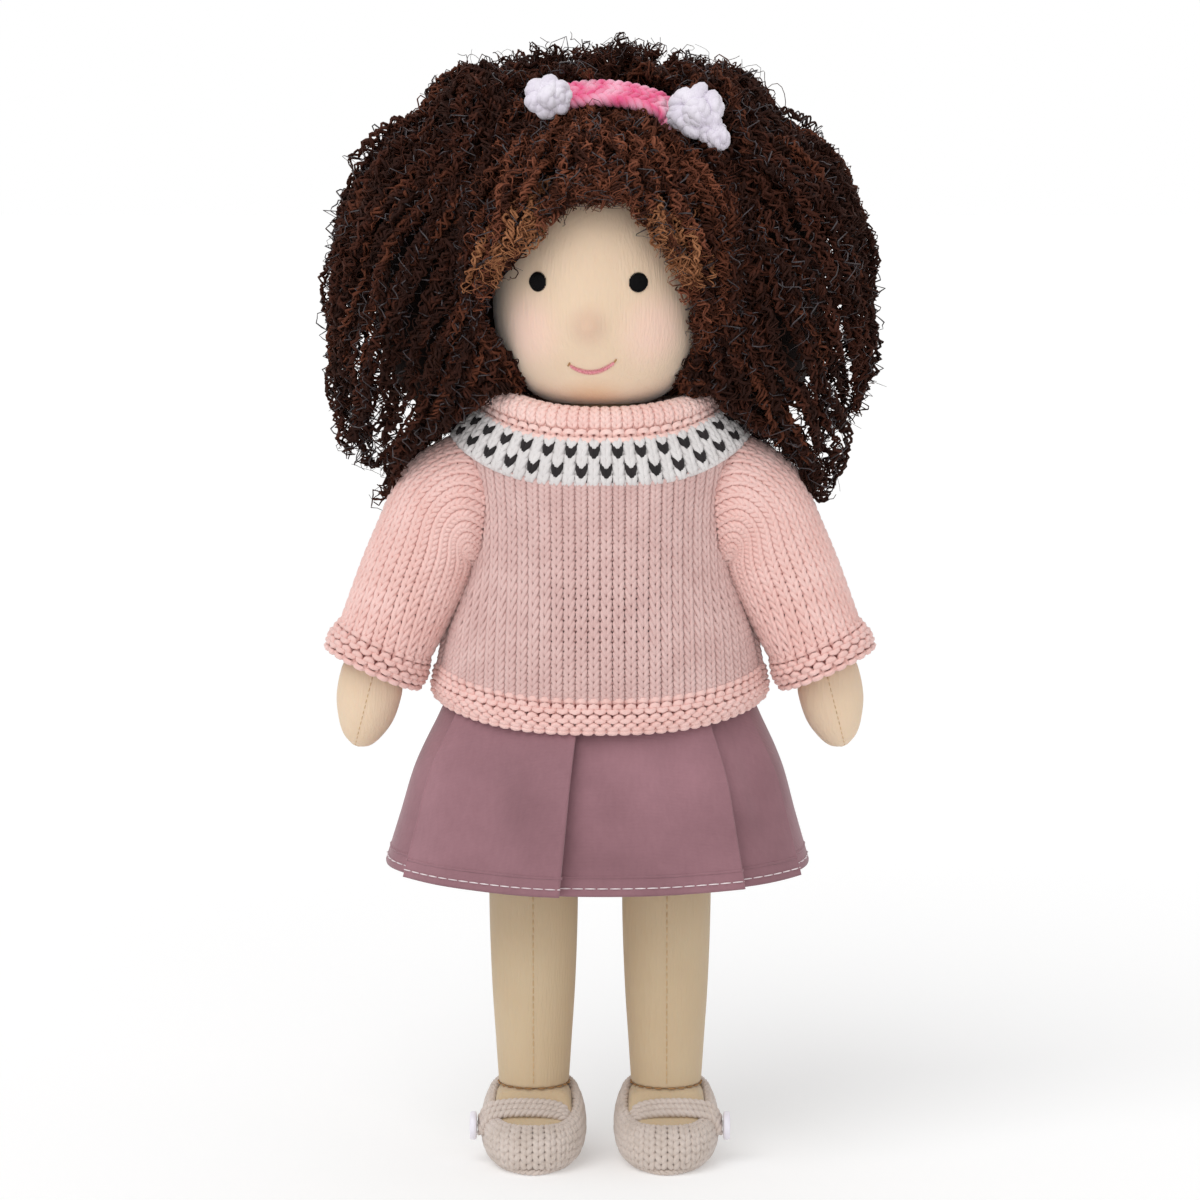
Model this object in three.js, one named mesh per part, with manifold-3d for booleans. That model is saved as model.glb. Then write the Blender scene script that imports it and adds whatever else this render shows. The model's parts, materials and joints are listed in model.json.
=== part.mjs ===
// A standing cloth doll: stuffed jersey body, wool-yarn hair with a crocheted band, a knitted
// sweater, a pleated skirt and crocheted strap shoes. Millimetres, +Z up. The doll faces -Y, and
// left and right are its own, so its left side is +X. The origin is at the bottom centre of its box.
import * as THREE from "three";
import { mergeVertices } from "three/addons/utils/BufferGeometryUtils.js";
import Module from "manifold-3d";

const wasm = await Module();
wasm.setup();

// Clearances and cloth
const GAP = 0.3; // left between any two pieces that touch
const SKIN = 1.1; // two layers of jersey with their seam
const KNIT = 2.6; // knitted yarn
const CLOTH = 0.8; // skirt cloth with its turned hem
const FAR = 200; // reaches past the whole doll, for boxes that cut away all on one side

// Feet and shoes
const SOLE_THICKNESS = 2;
const SHOE_WALL = 2.2;
const FOOT_HEIGHT = 17; // sole of the foot to the ankle seam
const FOOT_HALF_WIDTH = 10.3;
const FOOT_TOE = 27; // reach of the toes in front of the ankle
const FOOT_HEEL = 11.5; // reach of the heel behind it
const TOE_HEIGHT = 5.6;
const MOUTH_FRONT = 19.5; // front edge of the shoe's mouth, in front of the ankle
const MOUTH_SILL = 6.5; // its height above the foot's sole there
const HEEL_COLLAR = 1.2; // how far the shoe rises above the ankle seam behind
const STRAP_WIDTH = 3.6;
const STRAP_THICKNESS = 1.9;
const STRAP_FRONT = 15.8; // front edge of the strap, in front of the ankle
const STRAP_LAP = 5; // lower end of the strap's lap above the foot's sole
const BUTTON_RADIUS = 4;
const BUTTON_THICKNESS = 1.8;
const BUTTON_HEIGHT = 8; // middle of the button above the foot's sole

// Legs
const LEG_LENGTH = 85; // ankle seam to hip axis
const LEG_SPREAD = 18; // each leg's distance from the middle
const HIP_RADIUS = 12.1;
const KNEE_RADIUS = 12;
const ANKLE_RADIUS = 9.6;

// Trunk and neck
const TRUNK_HEIGHT = 93; // hip axis to the neck seam
const TRUNK_OVERHANG = 5; // how far the seat comes down behind the hip axis
const SHOULDER_SLOPE = 12; // height over which the shoulders run in to the neck
const NECK_OPENING = 8; // radius of the hole that the stuffing went in through
const HIP_HALF_WIDTH = 30;
const HIP_HALF_DEPTH = 20;
const WAIST_HALF_WIDTH = 28;
const WAIST_HALF_DEPTH = 19;
const CHEST_HALF_WIDTH = 29.8;
const CHEST_HALF_DEPTH = 18.5;
const SHOULDER_HEIGHT = 77; // hip axis to shoulder axis
const NECK_RADIUS = 11;
const NECK_HEIGHT = 7.5;

// Arms
const ARM_RADIUS = 9.3;
const WRIST_RADIUS = 8.2;
const HAND_HALF_WIDTH = 8.7;
const HAND_HALF_DEPTH = 6.9;
const SLEEVE_LENGTH = 45; // shoulder axis to the top of the cuff
const CUFF_LENGTH = 7.5;
const HAND_LENGTH = 21.5; // bare hand below the cuff
const ARM_SPREAD = THREE.MathUtils.degToRad(24.5);
const HAND_BEND = THREE.MathUtils.degToRad(10);

// Head
const HEAD_HALF_WIDTH = 28.8;
const HEAD_HALF_DEPTH = 28.5;
const HEAD_HEIGHT = 70;
const CHEEK_HEIGHT = 27; // widest level above the chin
const EYE_RADIUS = 2.4;
const EYE_SPACING = 27.5;
const EYE_HEIGHT = 32.5; // above the chin
const MOUTH_HEIGHT = 10.5;
const MOUTH_HALF_WIDTH = 6.4;
const LIP_HEIGHT = 1.1;
const THREAD = 0.9; // how far the embroidery stands off the skin
const FACE_TURN = THREE.MathUtils.degToRad(-6); // the face looks a little to its own right

// Sweater
const BODICE_LENGTH = 58; // top of the hem band to the bottom of the yoke, at the front
const HEM_BAND = 8;
const HEM_HALF_WIDTH = 43;
const HEM_HALF_DEPTH = 31;
const HEM_RISE = 4.5; // how much higher the hem lies at the sides than in front
const YOKE_LENGTH = 9.5; // at the front
const COLLAR_HEIGHT = 10.5; // at the front
const COLLAR_HALF_WIDTH = 28.8;
const COLLAR_HALF_DEPTH = 20.8;
const COLLAR_WALL = 3.4;
const YOKE_RISE = 13; // how much higher the yoke's lower edge lies at the shoulders than in front
const COLLAR_RISE = 6;

// Skirt
const WAISTBAND_HEIGHT = 8;
const WAISTBAND_THICKNESS = 2;
const SKIRT_LENGTH = 54;
const SKIRT_HALF_WIDTH = 56.5;
const SKIRT_HALF_DEPTH = 42;
const PLEATS = 12;
const PLEAT_DEPTH = 2.6; // at the hem

// Hair
const HAIR_FRONT_LIFT = 9; // thickness of the hair on the crown
const HAIR_FRONT_SIDE = 13; // thickness beside the temples
const HAIRLINE = 23; // half the width of the face that the hair leaves free
const CAP_BACK = 9; // the front hair ends this far behind the ears
const HAIR_TOP = 26; // top of the hair above the head
const BUNCH_REACH = 76; // widest point of each bunch from the middle
const BUNCH_DROP = 30; // tips of the bunches below the chin
const MANE_BACK = 50; // how far the hair stands out behind
const SHOULDER_CLEAR = 56; // the hair leaves this radius round the neck free above the shoulders
const NECK_CLEAR = 36; // and this half width round the collar
const NAPE = 28.5; // the hair behind the neck starts here
const HAIR_BACK_PLANE = 33; // behind this the bunches hang down past the shoulders
const BAND_WIDTH = 9;
const BAND_THICKNESS = 4;
const BAND_Y = -3;
const FLOWER_RADIUS = 7.5;
const FLOWER_FRONT = 8.5; // how far the flowers sit in front of the band
const PETALS = 5;

// How finely round shapes are faceted
const LIMB_SIDES = 12;
const FOOT_SIDES = 10;
const BODY_SIDES = 18;
const HAIR_SIDES = 12;
const LINING_SIDES = 10; // linings and stuffing, which stay out of sight

// Heights and places that follow from the sizes
const footBase = SOLE_THICKNESS + GAP;
const ankleZ = footBase + FOOT_HEIGHT;
const hipZ = ankleZ + LEG_LENGTH;
const neckZ = hipZ + TRUNK_HEIGHT;
const headZ = neckZ + NECK_HEIGHT + 2 * GAP;
const shoulderZ = hipZ + SHOULDER_HEIGHT;
const shoulderX = CHEST_HALF_WIDTH + GAP + ARM_RADIUS;
const sweaterHalfWidth = CHEST_HALF_WIDTH + GAP + KNIT;
const sweaterHalfDepth = CHEST_HALF_DEPTH + GAP + KNIT;
const armholeX = sweaterHalfWidth + GAP;
const collarTop = headZ + 1;
const yokeTop = collarTop - COLLAR_HEIGHT;
const yokeBottom = yokeTop - GAP - YOKE_LENGTH;
const bodiceTop = yokeBottom - GAP;
const bodiceBottom = bodiceTop - BODICE_LENGTH;
const hemBandTop = bodiceBottom - GAP;
const hemBandBottom = hemBandTop - HEM_BAND;

// Small helpers

// An ellipse of points in the plane of the two half axes, which are vectors.
function ellipse(centre, halfA, halfB, sides) {
  return Array.from({ length: sides }, (_, i) => {
    const turn = (2 * Math.PI * i) / sides;
    return centre.clone().addScaledVector(halfA, Math.cos(turn)).addScaledVector(halfB, Math.sin(turn));
  });
}

// A level ellipse, which can rise towards its two sides as a neckline does over shoulders.
function levelRing(z, halfWidth, halfDepth, sides, rise = 0) {
  const ring = ellipse(
    new THREE.Vector3(0, 0, z),
    new THREE.Vector3(halfWidth, 0, 0),
    new THREE.Vector3(0, halfDepth, 0),
    sides,
  );
  for (const p of ring) p.z += rise * Math.abs(p.x / halfWidth) ** 3;
  return ring;
}

// Smooth values through rows of numbers, as many rows as asked for.
function smooth(rows, count) {
  const columns = rows[0].length;
  const curves = [];
  for (let c = 0; c < columns; c += 1)
    curves.push(new THREE.SplineCurve(rows.map((row, i) => new THREE.Vector2(i, row[c]))));
  return Array.from({ length: count }, (_, i) => curves.map((curve) => curve.getPoint(i / (count - 1)).y));
}

// Six times the volume that triangles enclose, negative where they face inwards.
function volumeOf(geometry, index) {
  const position = geometry.getAttribute("position");
  const [a, b, c] = [new THREE.Vector3(), new THREE.Vector3(), new THREE.Vector3()];
  let volume = 0;
  for (let i = 0; i < index.length; i += 3) {
    a.fromBufferAttribute(position, index[i]);
    b.fromBufferAttribute(position, index[i + 1]);
    c.fromBufferAttribute(position, index[i + 2]);
    volume += a.dot(b.cross(c));
  }
  return volume;
}

// Turns a geometry's faces outwards.
function outward(geometry) {
  const index = geometry.index.array;
  if (volumeOf(geometry, index) < 0)
    for (let i = 0; i < index.length; i += 3) [index[i], index[i + 1]] = [index[i + 1], index[i]];
  return geometry;
}

// A closed surface through rings of points. Its ends are capped, or the last ring joins the first.
function loft(rings, joined = false) {
  const sides = rings[0].length;
  const points = rings.flat();
  const index = [];
  const bands = joined ? rings.length : rings.length - 1;
  for (let i = 0; i < bands; i += 1) {
    const low = i * sides;
    const high = ((i + 1) % rings.length) * sides;
    for (let j = 0; j < sides; j += 1) {
      const k = (j + 1) % sides;
      index.push(low + j, low + k, high + j, low + k, high + k, high + j);
    }
  }
  if (!joined) {
    for (const [end, start, turn] of [[rings[0], 0, 1], [rings.at(-1), (rings.length - 1) * sides, 0]]) {
      const middle = end.reduce((sum, p) => sum.add(p), new THREE.Vector3()).divideScalar(sides);
      points.push(middle);
      for (let j = 0; j < sides; j += 1) {
        const pair = [start + j, start + ((j + 1) % sides)];
        index.push(pair[1 - turn], pair[turn], points.length - 1);
      }
    }
    for (let j = index.length - 6 * sides; j < index.length; j += 3)
      [index[j], index[j + 1]] = [index[j + 1], index[j]];
  }
  const geometry = new THREE.BufferGeometry();
  geometry.setAttribute("position", new THREE.Float32BufferAttribute(points.flatMap((p) => p.toArray()), 3));
  geometry.setIndex(index);
  return outward(geometry);
}

function solid(geometry) {
  const bare = geometry.clone();
  bare.deleteAttribute("normal");
  bare.deleteAttribute("uv");
  const merged = mergeVertices(bare, 1e-3);
  return new wasm.Manifold(
    new wasm.Mesh({
      numProp: 3,
      vertProperties: merged.getAttribute("position").array,
      triVerts: new Uint32Array(merged.index.array),
    }),
  );
}

function geometryOf(made) {
  const mesh = made.getMesh();
  const geometry = new THREE.BufferGeometry();
  geometry.setAttribute("position", new THREE.Float32BufferAttribute(mesh.vertProperties, 3));
  geometry.setIndex(Array.from(mesh.triVerts));
  return geometry;
}

// Drops the slivers that a cut leaves: bodies under a hundredth of the largest one.
function withoutSlivers(geometry) {
  const index = geometry.index.array;
  const root = Array.from({ length: geometry.getAttribute("position").count }, (_, i) => i);
  const find = (i) => {
    while (root[i] !== i) i = root[i] = root[root[i]];
    return i;
  };
  for (let i = 0; i < index.length; i += 3) {
    root[find(index[i + 1])] = find(index[i]);
    root[find(index[i + 2])] = find(index[i]);
  }
  const bodies = new Map();
  for (let i = 0; i < index.length; i += 3) {
    const body = find(index[i]);
    if (!bodies.has(body)) bodies.set(body, []);
    bodies.get(body).push(index[i], index[i + 1], index[i + 2]);
  }
  const kept = [...bodies.values()].map((triangles) => [triangles, Math.abs(volumeOf(geometry, triangles))]);
  const most = Math.max(...kept.map(([, volume]) => volume));
  const tidy = new THREE.BufferGeometry();
  tidy.setAttribute("position", geometry.getAttribute("position"));
  tidy.setIndex(kept.filter(([, volume]) => volume > 0.01 * most).flatMap(([triangles]) => triangles));
  return tidy;
}

function cut(geometry, ...tools) {
  let made = solid(geometry);
  for (const tool of tools) made = made.subtract(solid(tool));
  return withoutSlivers(geometryOf(made));
}

function join(...geometries) {
  return geometryOf(geometries.map(solid).reduce((sum, one) => sum.add(one)));
}

function common(...geometries) {
  return geometryOf(geometries.map(solid).reduce((sum, one) => sum.intersect(one)));
}

function box(low, high) {
  const size = new THREE.Vector3(...high).sub(new THREE.Vector3(...low));
  return new THREE.BoxGeometry(size.x, size.y, size.z).translate(
    (low[0] + high[0]) / 2,
    (low[1] + high[1]) / 2,
    (low[2] + high[2]) / 2,
  );
}

function mirrored(geometry) {
  const other = geometry.clone();
  other.scale(-1, 1, 1);
  return outward(other.index ? other : mergeVertices(other));
}

// A closed ring of knitting between an outer and an inner wall, from rows of z, half width, half depth and rise.
function knitRing(rows, wall, sides = BODY_SIDES) {
  const outer = rows.map(([z, a, b, rise]) => levelRing(z, a, b, sides, rise));
  const inner = rows.map(([z, a, b, rise]) => levelRing(z, a - wall, b - wall, sides, rise)).reverse();
  return loft([...outer, ...inner], true);
}

// Materials
function material(colour, roughness) {
  return new THREE.MeshStandardMaterial({ color: colour, roughness, metalness: 0 });
}
const materials = {
  skin: material("#ecd3b0", 0.85),
  stuffing: material("#f2ede2", 0.95),
  hair: material("#3b221a", 0.9),
  pink: material("#f3bdb4", 0.9),
  white: material("#e9e5e1", 0.9),
  dark: material("#111012", 0.7),
  mouth: material("#e58b95", 0.7),
  skirt: material("#8e6673", 0.85),
  shoe: material("#ece0d2", 0.9),
  band: material("#ef7fa6", 0.85),
  flower: material("#efe8f3", 0.85),
};

const doll = new THREE.Group();
function add(name, geometry, look) {
  const mesh = new THREE.Mesh(geometry, materials[look]);
  mesh.name = name;
  doll.add(mesh);
}
function addPair(name, geometry, look) {
  add(`${name}_left`, geometry, look);
  add(`${name}_right`, mirrored(geometry), look);
}

// Trunk: a stuffed bag that swells at the hips and chest. Its foot is hollowed for the leg tops.
function trunk(shrink, rings, sides) {
  const rows = smooth(
    [
      [hipZ, HIP_HALF_WIDTH - 1, HIP_HALF_DEPTH - 1.5],
      [hipZ + 22, HIP_HALF_WIDTH, HIP_HALF_DEPTH],
      [hipZ + 45, WAIST_HALF_WIDTH, WAIST_HALF_DEPTH],
      [shoulderZ, CHEST_HALF_WIDTH, CHEST_HALF_DEPTH],
      [neckZ - SHOULDER_SLOPE / 2, CHEST_HALF_WIDTH - 7, CHEST_HALF_DEPTH - 3],
      [neckZ, NECK_RADIUS, NECK_RADIUS],
    ],
    rings,
  );
  return loft(rows.map(([z, a, b]) => levelRing(Math.min(z, neckZ - shrink), a - shrink, b - shrink, sides)));
}
function hipSocket(room) {
  const roller = new THREE.CylinderGeometry(HIP_RADIUS + room, HIP_RADIUS + room, 2 * FAR, 20)
    .rotateZ(Math.PI / 2)
    .translate(0, 0, hipZ);
  const lap = box([-FAR, -FAR, hipZ - FAR], [FAR, 0, hipZ + HIP_RADIUS + room]);
  const seat = box([-FAR, -1, hipZ - FAR], [FAR, FAR, hipZ + TRUNK_OVERHANG + room - GAP]);
  return [roller, lap, seat];
}
const trunkCore = cut(trunk(SKIN + GAP, 7, LINING_SIDES), ...hipSocket(GAP + SKIN + GAP));
const trunkOpening = new THREE.CylinderGeometry(NECK_OPENING, NECK_OPENING, 12, LINING_SIDES)
  .rotateX(Math.PI / 2)
  .translate(0, 0, neckZ);
add(
  "trunk_skin",
  cut(trunk(0, 9, BODY_SIDES), ...hipSocket(GAP), cut(trunk(SKIN, 7, LINING_SIDES), ...hipSocket(GAP + SKIN)), trunkOpening),
  "skin",
);
add("trunk_stuffing", trunkCore, "stuffing");
add(
  "neck",
  new THREE.CylinderGeometry(NECK_RADIUS, NECK_RADIUS, NECK_HEIGHT, 20)
    .rotateX(Math.PI / 2)
    .translate(0, 0, neckZ + GAP + NECK_HEIGHT / 2),
  "skin",
);

// Legs: a round hip, a straight leg and a slimmer ankle. The skin is open where the foot is sewn on.
function limbRows(shrink) {
  const rows = [];
  const steps = 3;
  for (let i = 0; i < steps; i += 1) {
    const turn = (Math.PI / 2) * ((i + 0.35) / steps);
    const r = HIP_RADIUS - shrink;
    rows.push([r * Math.cos(turn), r * Math.sin(turn), r * Math.sin(turn)]);
  }
  for (const [down, radius] of [[0, HIP_RADIUS], [35, KNEE_RADIUS], [65, (KNEE_RADIUS + ANKLE_RADIUS) / 2]])
    rows.push([-down, radius - shrink, radius - shrink]);
  rows.push([-LEG_LENGTH, ANKLE_RADIUS - shrink, ANKLE_RADIUS - shrink]);
  return rows;
}
function limbRings(rows, sides) {
  return rows.map(([z, a, b, x = 0]) => levelRing(z, a, b, sides).map((p) => p.add(new THREE.Vector3(x, 0, 0))));
}
const toLeg = new THREE.Matrix4().makeTranslation(LEG_SPREAD, 0, hipZ);
const legSkin = loft([
  ...limbRings(limbRows(0), LIMB_SIDES),
  ...limbRings(limbRows(SKIN), LIMB_SIDES).reverse(),
]);
addPair("leg_skin", legSkin.applyMatrix4(toLeg), "skin");
addPair("leg_stuffing", loft(limbRings(limbRows(SKIN + GAP), LIMB_SIDES)).applyMatrix4(toLeg), "stuffing");

// The joined top of the legs, on which both fold when the doll sits.
const gussetHalf = LEG_SPREAD - HIP_RADIUS - GAP;
add(
  "hip_gusset",
  new THREE.CylinderGeometry(HIP_RADIUS, HIP_RADIUS, 2 * gussetHalf, 20).rotateZ(Math.PI / 2).translate(0, 0, hipZ),
  "skin",
);

// Feet: sections along the foot, flat underneath, with a stump that meets the ankle.
function footSections(grow) {
  const top = ankleZ - GAP;
  const rows = smooth(
    [
      [FOOT_HEEL, 2.5, ankleZ - 8],
      [FOOT_HEEL - 3, 7.4, ankleZ - 3.5],
      [2, ANKLE_RADIUS, top],
      [-6, FOOT_HALF_WIDTH, top - 1.6],
      [-13, FOOT_HALF_WIDTH, footBase + TOE_HEIGHT + 5.2],
      [7 - FOOT_TOE, FOOT_HALF_WIDTH - 0.4, footBase + TOE_HEIGHT + 2],
      [2.5 - FOOT_TOE, FOOT_HALF_WIDTH - 2.6, footBase + TOE_HEIGHT],
      [-FOOT_TOE, FOOT_HALF_WIDTH - 6, footBase + TOE_HEIGHT - 2.4],
    ],
    9,
  );
  const last = rows.length - 1;
  return rows.map(([y, half, high], i) => {
    const out = y + (i === 0 ? grow : i === last ? -grow : 0);
    const middle = (high + footBase) / 2;
    return ellipse(
      new THREE.Vector3(0, out, middle),
      new THREE.Vector3(half + grow, 0, 0),
      new THREE.Vector3(0, 0, (high - footBase) / 2 + grow),
      FOOT_SIDES,
    );
  });
}
const belowFoot = box([-FAR, -FAR, -FAR], [FAR, FAR, footBase]);
const ankleStump = new THREE.CylinderGeometry(ANKLE_RADIUS - GAP, ANKLE_RADIUS, 8, LIMB_SIDES)
  .rotateX(Math.PI / 2)
  .translate(0, 0, ankleZ - GAP - 4);
const foot = cut(join(loft(footSections(0)), ankleStump), belowFoot);
const footRoom = join(loft(footSections(GAP)), ankleStump.clone().scale(1.05, 1.05, 1));
const toFoot = new THREE.Matrix4().makeTranslation(LEG_SPREAD, 0, 0);

// Shoes: a crocheted upper with a slanting mouth, on a flat sole.
const mouthBack = 5; // where the slanting rim has reached the height of the heel
const rimLow = footBase + MOUTH_SILL;
const rimHigh = ankleZ + HEEL_COLLAR;
const shoeMouth = new THREE.Shape([
  new THREE.Vector2(-MOUTH_FRONT, rimLow),
  new THREE.Vector2(mouthBack, rimHigh),
  new THREE.Vector2(FAR, rimHigh),
  new THREE.Vector2(FAR, rimHigh + FAR),
  new THREE.Vector2(-MOUTH_FRONT, rimHigh + FAR),
]);
const sideways = new THREE.Matrix4().makeBasis(
  new THREE.Vector3(0, 1, 0),
  new THREE.Vector3(0, 0, 1),
  new THREE.Vector3(1, 0, 0),
);
const mouthRoom = new THREE.ExtrudeGeometry(shoeMouth, { depth: 2 * FAR, bevelEnabled: false })
  .translate(0, 0, -FAR)
  .applyMatrix4(sideways);
const shoeOuter = loft(footSections(GAP + SHOE_WALL));
const upper = cut(shoeOuter, footRoom, belowFoot, mouthRoom);
const soleOutline = common(shoeOuter, box([-FAR, -FAR, footBase], [FAR, FAR, footBase + 1]));
const sole = common(
  soleOutline.translate(0, 0, -footBase).scale(1, 1, 4 * SOLE_THICKNESS).translate(0, 0, -SOLE_THICKNESS),
  box([-FAR, -FAR, 0], [FAR, FAR, SOLE_THICKNESS]),
);

// The strap follows the instep, and its outer end laps over the upper and carries the button.
const strapBack = STRAP_FRONT - STRAP_WIDTH;
const strapRim = rimLow + ((MOUTH_FRONT - strapBack) * (rimHigh - rimLow)) / (MOUTH_FRONT + mouthBack);
const lapBottom = footBase + STRAP_LAP;
function instepShell(inside, outside, low, high, fromX) {
  const slab = box([fromX, -STRAP_FRONT, low], [FAR, -strapBack, high]);
  return common(cut(loft(footSections(outside)), loft(footSections(inside))), slab);
}
const lapOut = GAP + SHOE_WALL + GAP;
const strapLayers = join(
  instepShell(GAP, GAP + STRAP_THICKNESS, strapRim + GAP, FAR, -FAR),
  instepShell(GAP, lapOut + STRAP_THICKNESS, strapRim + GAP, strapRim + 2, 0),
  instepShell(lapOut, lapOut + STRAP_THICKNESS, lapBottom, strapRim + 2, 0),
);
const strap = cut(strapLayers, footRoom);
const buttonX = FOOT_HALF_WIDTH + lapOut + STRAP_THICKNESS + GAP + BUTTON_THICKNESS / 2;
const button = new THREE.CylinderGeometry(BUTTON_RADIUS, BUTTON_RADIUS, BUTTON_THICKNESS, 14)
  .rotateZ(Math.PI / 2)
  .translate(buttonX, -STRAP_FRONT + STRAP_WIDTH / 2, footBase + BUTTON_HEIGHT);
for (const [name, geometry, look] of [
  ["foot", foot, "skin"],
  ["shoe_upper", upper, "shoe"],
  ["shoe_sole", sole, "shoe"],
  ["shoe_strap", strap, "shoe"],
  ["shoe_button", button, "flower"],
])
  addPair(name, geometry.clone().applyMatrix4(toFoot), look);

// Arms: a round shoulder, a straight sleeve length, and a mitten hand bent a little inwards.
const armLength = SLEEVE_LENGTH + CUFF_LENGTH + HAND_LENGTH;
function armRows(shrink) {
  const rows = [];
  const r = ARM_RADIUS - shrink;
  for (const turn of [0.18, 0.6, 1.1]) rows.push([r * Math.cos(turn), r * Math.sin(turn), r * Math.sin(turn)]);
  const wrist = SLEEVE_LENGTH + CUFF_LENGTH - 4;
  const stations = [
    [0, ARM_RADIUS, ARM_RADIUS],
    [22, ARM_RADIUS, ARM_RADIUS],
    [wrist, WRIST_RADIUS, WRIST_RADIUS - 1],
    [wrist + 8, HAND_HALF_WIDTH, HAND_HALF_DEPTH],
    [wrist + 15, HAND_HALF_WIDTH - 0.7, HAND_HALF_DEPTH - 0.5],
    [wrist + 21, HAND_HALF_WIDTH - 3, HAND_HALF_DEPTH - 2.2],
    [armLength - 1, 3, 2.4],
  ];
  for (const [down, a, b] of stations) {
    const past = Math.max(0, down - wrist);
    rows.push([shrink * (down > armLength - 2) - down, a - shrink, b - shrink, -past * Math.tan(HAND_BEND)]);
  }
  return rows;
}
const toArm = new THREE.Matrix4()
  .makeTranslation(shoulderX, 0, shoulderZ)
  .multiply(new THREE.Matrix4().makeRotationY(-ARM_SPREAD));
const armOpening = box([-3, -3, 0], [3, 3, 30]);
addPair(
  "arm_skin",
  cut(loft(limbRings(armRows(0), LIMB_SIDES)), loft(limbRings(armRows(SKIN), LIMB_SIDES)), armOpening).applyMatrix4(toArm),
  "skin",
);
addPair("arm_stuffing", loft(limbRings(armRows(SKIN + GAP), LIMB_SIDES)).applyMatrix4(toArm), "stuffing");

// Sweater body: hem band, bodice, yoke and collar, one above the other.
const armholes = new THREE.CylinderGeometry(ARM_RADIUS + GAP, ARM_RADIUS + GAP, 2 * armholeX + 4, 20)
  .rotateZ(Math.PI / 2)
  .translate(0, 0, shoulderZ);
const bodiceRows = smooth(
  [
    [bodiceBottom, HEM_HALF_WIDTH - 1, HEM_HALF_DEPTH - 0.6, HEM_RISE],
    [bodiceBottom + 13, HEM_HALF_WIDTH - 4, HEM_HALF_DEPTH - 2, 0.7 * HEM_RISE],
    [bodiceBottom + 32, sweaterHalfWidth, sweaterHalfDepth + 4, 0],
    [bodiceTop - 10, sweaterHalfWidth, sweaterHalfDepth + 3.5, 0.4 * YOKE_RISE],
    [bodiceTop, sweaterHalfWidth, sweaterHalfDepth + 3, YOKE_RISE],
  ],
  7,
);
for (const row of bodiceRows) if (row[0] > bodiceBottom + 30) row[1] = Math.min(row[1], sweaterHalfWidth);
add("sweater_bodice", cut(knitRing(bodiceRows, KNIT), armholes), "pink");
add(
  "sweater_hem_band",
  knitRing(
    [
      [hemBandBottom, HEM_HALF_WIDTH, HEM_HALF_DEPTH, HEM_RISE],
      [hemBandBottom + HEM_BAND / 2, HEM_HALF_WIDTH + 0.9, HEM_HALF_DEPTH + 0.9, HEM_RISE],
      [hemBandTop, HEM_HALF_WIDTH - 0.4, HEM_HALF_DEPTH - 0.2, HEM_RISE],
    ],
    KNIT + 0.4,
  ),
  "pink",
);
const collarFootWidth = sweaterHalfWidth - 1.2;
const collarFootDepth = sweaterHalfDepth + 2;
add(
  "sweater_yoke",
  knitRing(
    [
      [yokeBottom, sweaterHalfWidth, sweaterHalfDepth + 3, YOKE_RISE],
      [yokeBottom + YOKE_LENGTH / 2, sweaterHalfWidth - 0.4, sweaterHalfDepth + 2.8, (YOKE_RISE + COLLAR_RISE) / 2],
      [yokeTop - GAP, collarFootWidth, collarFootDepth, COLLAR_RISE],
    ],
    KNIT,
  ),
  "white",
);
add(
  "sweater_collar",
  knitRing(
    [
      [yokeTop, collarFootWidth, collarFootDepth, COLLAR_RISE],
      [yokeTop + COLLAR_HEIGHT / 2, COLLAR_HALF_WIDTH + 1.2, COLLAR_HALF_DEPTH + 1.2, COLLAR_RISE / 3],
      [collarTop - 1.5, COLLAR_HALF_WIDTH + 0.6, COLLAR_HALF_DEPTH + 0.6, 0.8],
      [collarTop, COLLAR_HALF_WIDTH - 1, COLLAR_HALF_DEPTH - 1, 0.5],
    ],
    COLLAR_WALL,
  ),
  "pink",
);

// Sleeves: rings that turn from the upright armhole to the slope of the arm.
// Each row is the ring's middle, the slope of its plane, its half height and half depth.
const sleeveRadius = ARM_RADIUS + GAP + KNIT;
function onArm(down) {
  return [shoulderX + down * Math.sin(ARM_SPREAD), shoulderZ - down * Math.cos(ARM_SPREAD)];
}
const armholeTop = yokeBottom + YOKE_RISE;
const armholeBottom = shoulderZ - 23;
const armSlope = Math.PI / 2 - ARM_SPREAD;
function sleeveRings(wall, rows) {
  return rows.map(([x, z, slope, high, deep]) =>
    ellipse(
      new THREE.Vector3(x, 0, z),
      new THREE.Vector3(Math.sin(slope), 0, Math.cos(slope)).multiplyScalar(high - wall),
      new THREE.Vector3(0, deep - wall, 0),
      16,
    ),
  );
}
const sleeveRows = [
  [armholeX + GAP, (armholeTop + armholeBottom) / 2, 0, (armholeTop - armholeBottom) / 2, sleeveRadius + 2.3],
  [armholeX + 4.6, shoulderZ - 3.6, 0.25, 17.6, sleeveRadius + 2],
  [...onArm(8), 0.6, 15.6, sleeveRadius + 1.7],
  [...onArm(16.5), armSlope - 0.16, sleeveRadius + 1.6, sleeveRadius + 1.3],
  [...onArm(27), armSlope, sleeveRadius + 1, sleeveRadius + 0.8],
  [...onArm(SLEEVE_LENGTH), armSlope, sleeveRadius - 0.4, sleeveRadius - 0.4],
];
addPair("sleeve", loft([...sleeveRings(0, sleeveRows), ...sleeveRings(KNIT, sleeveRows).reverse()], true), "pink");
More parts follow.
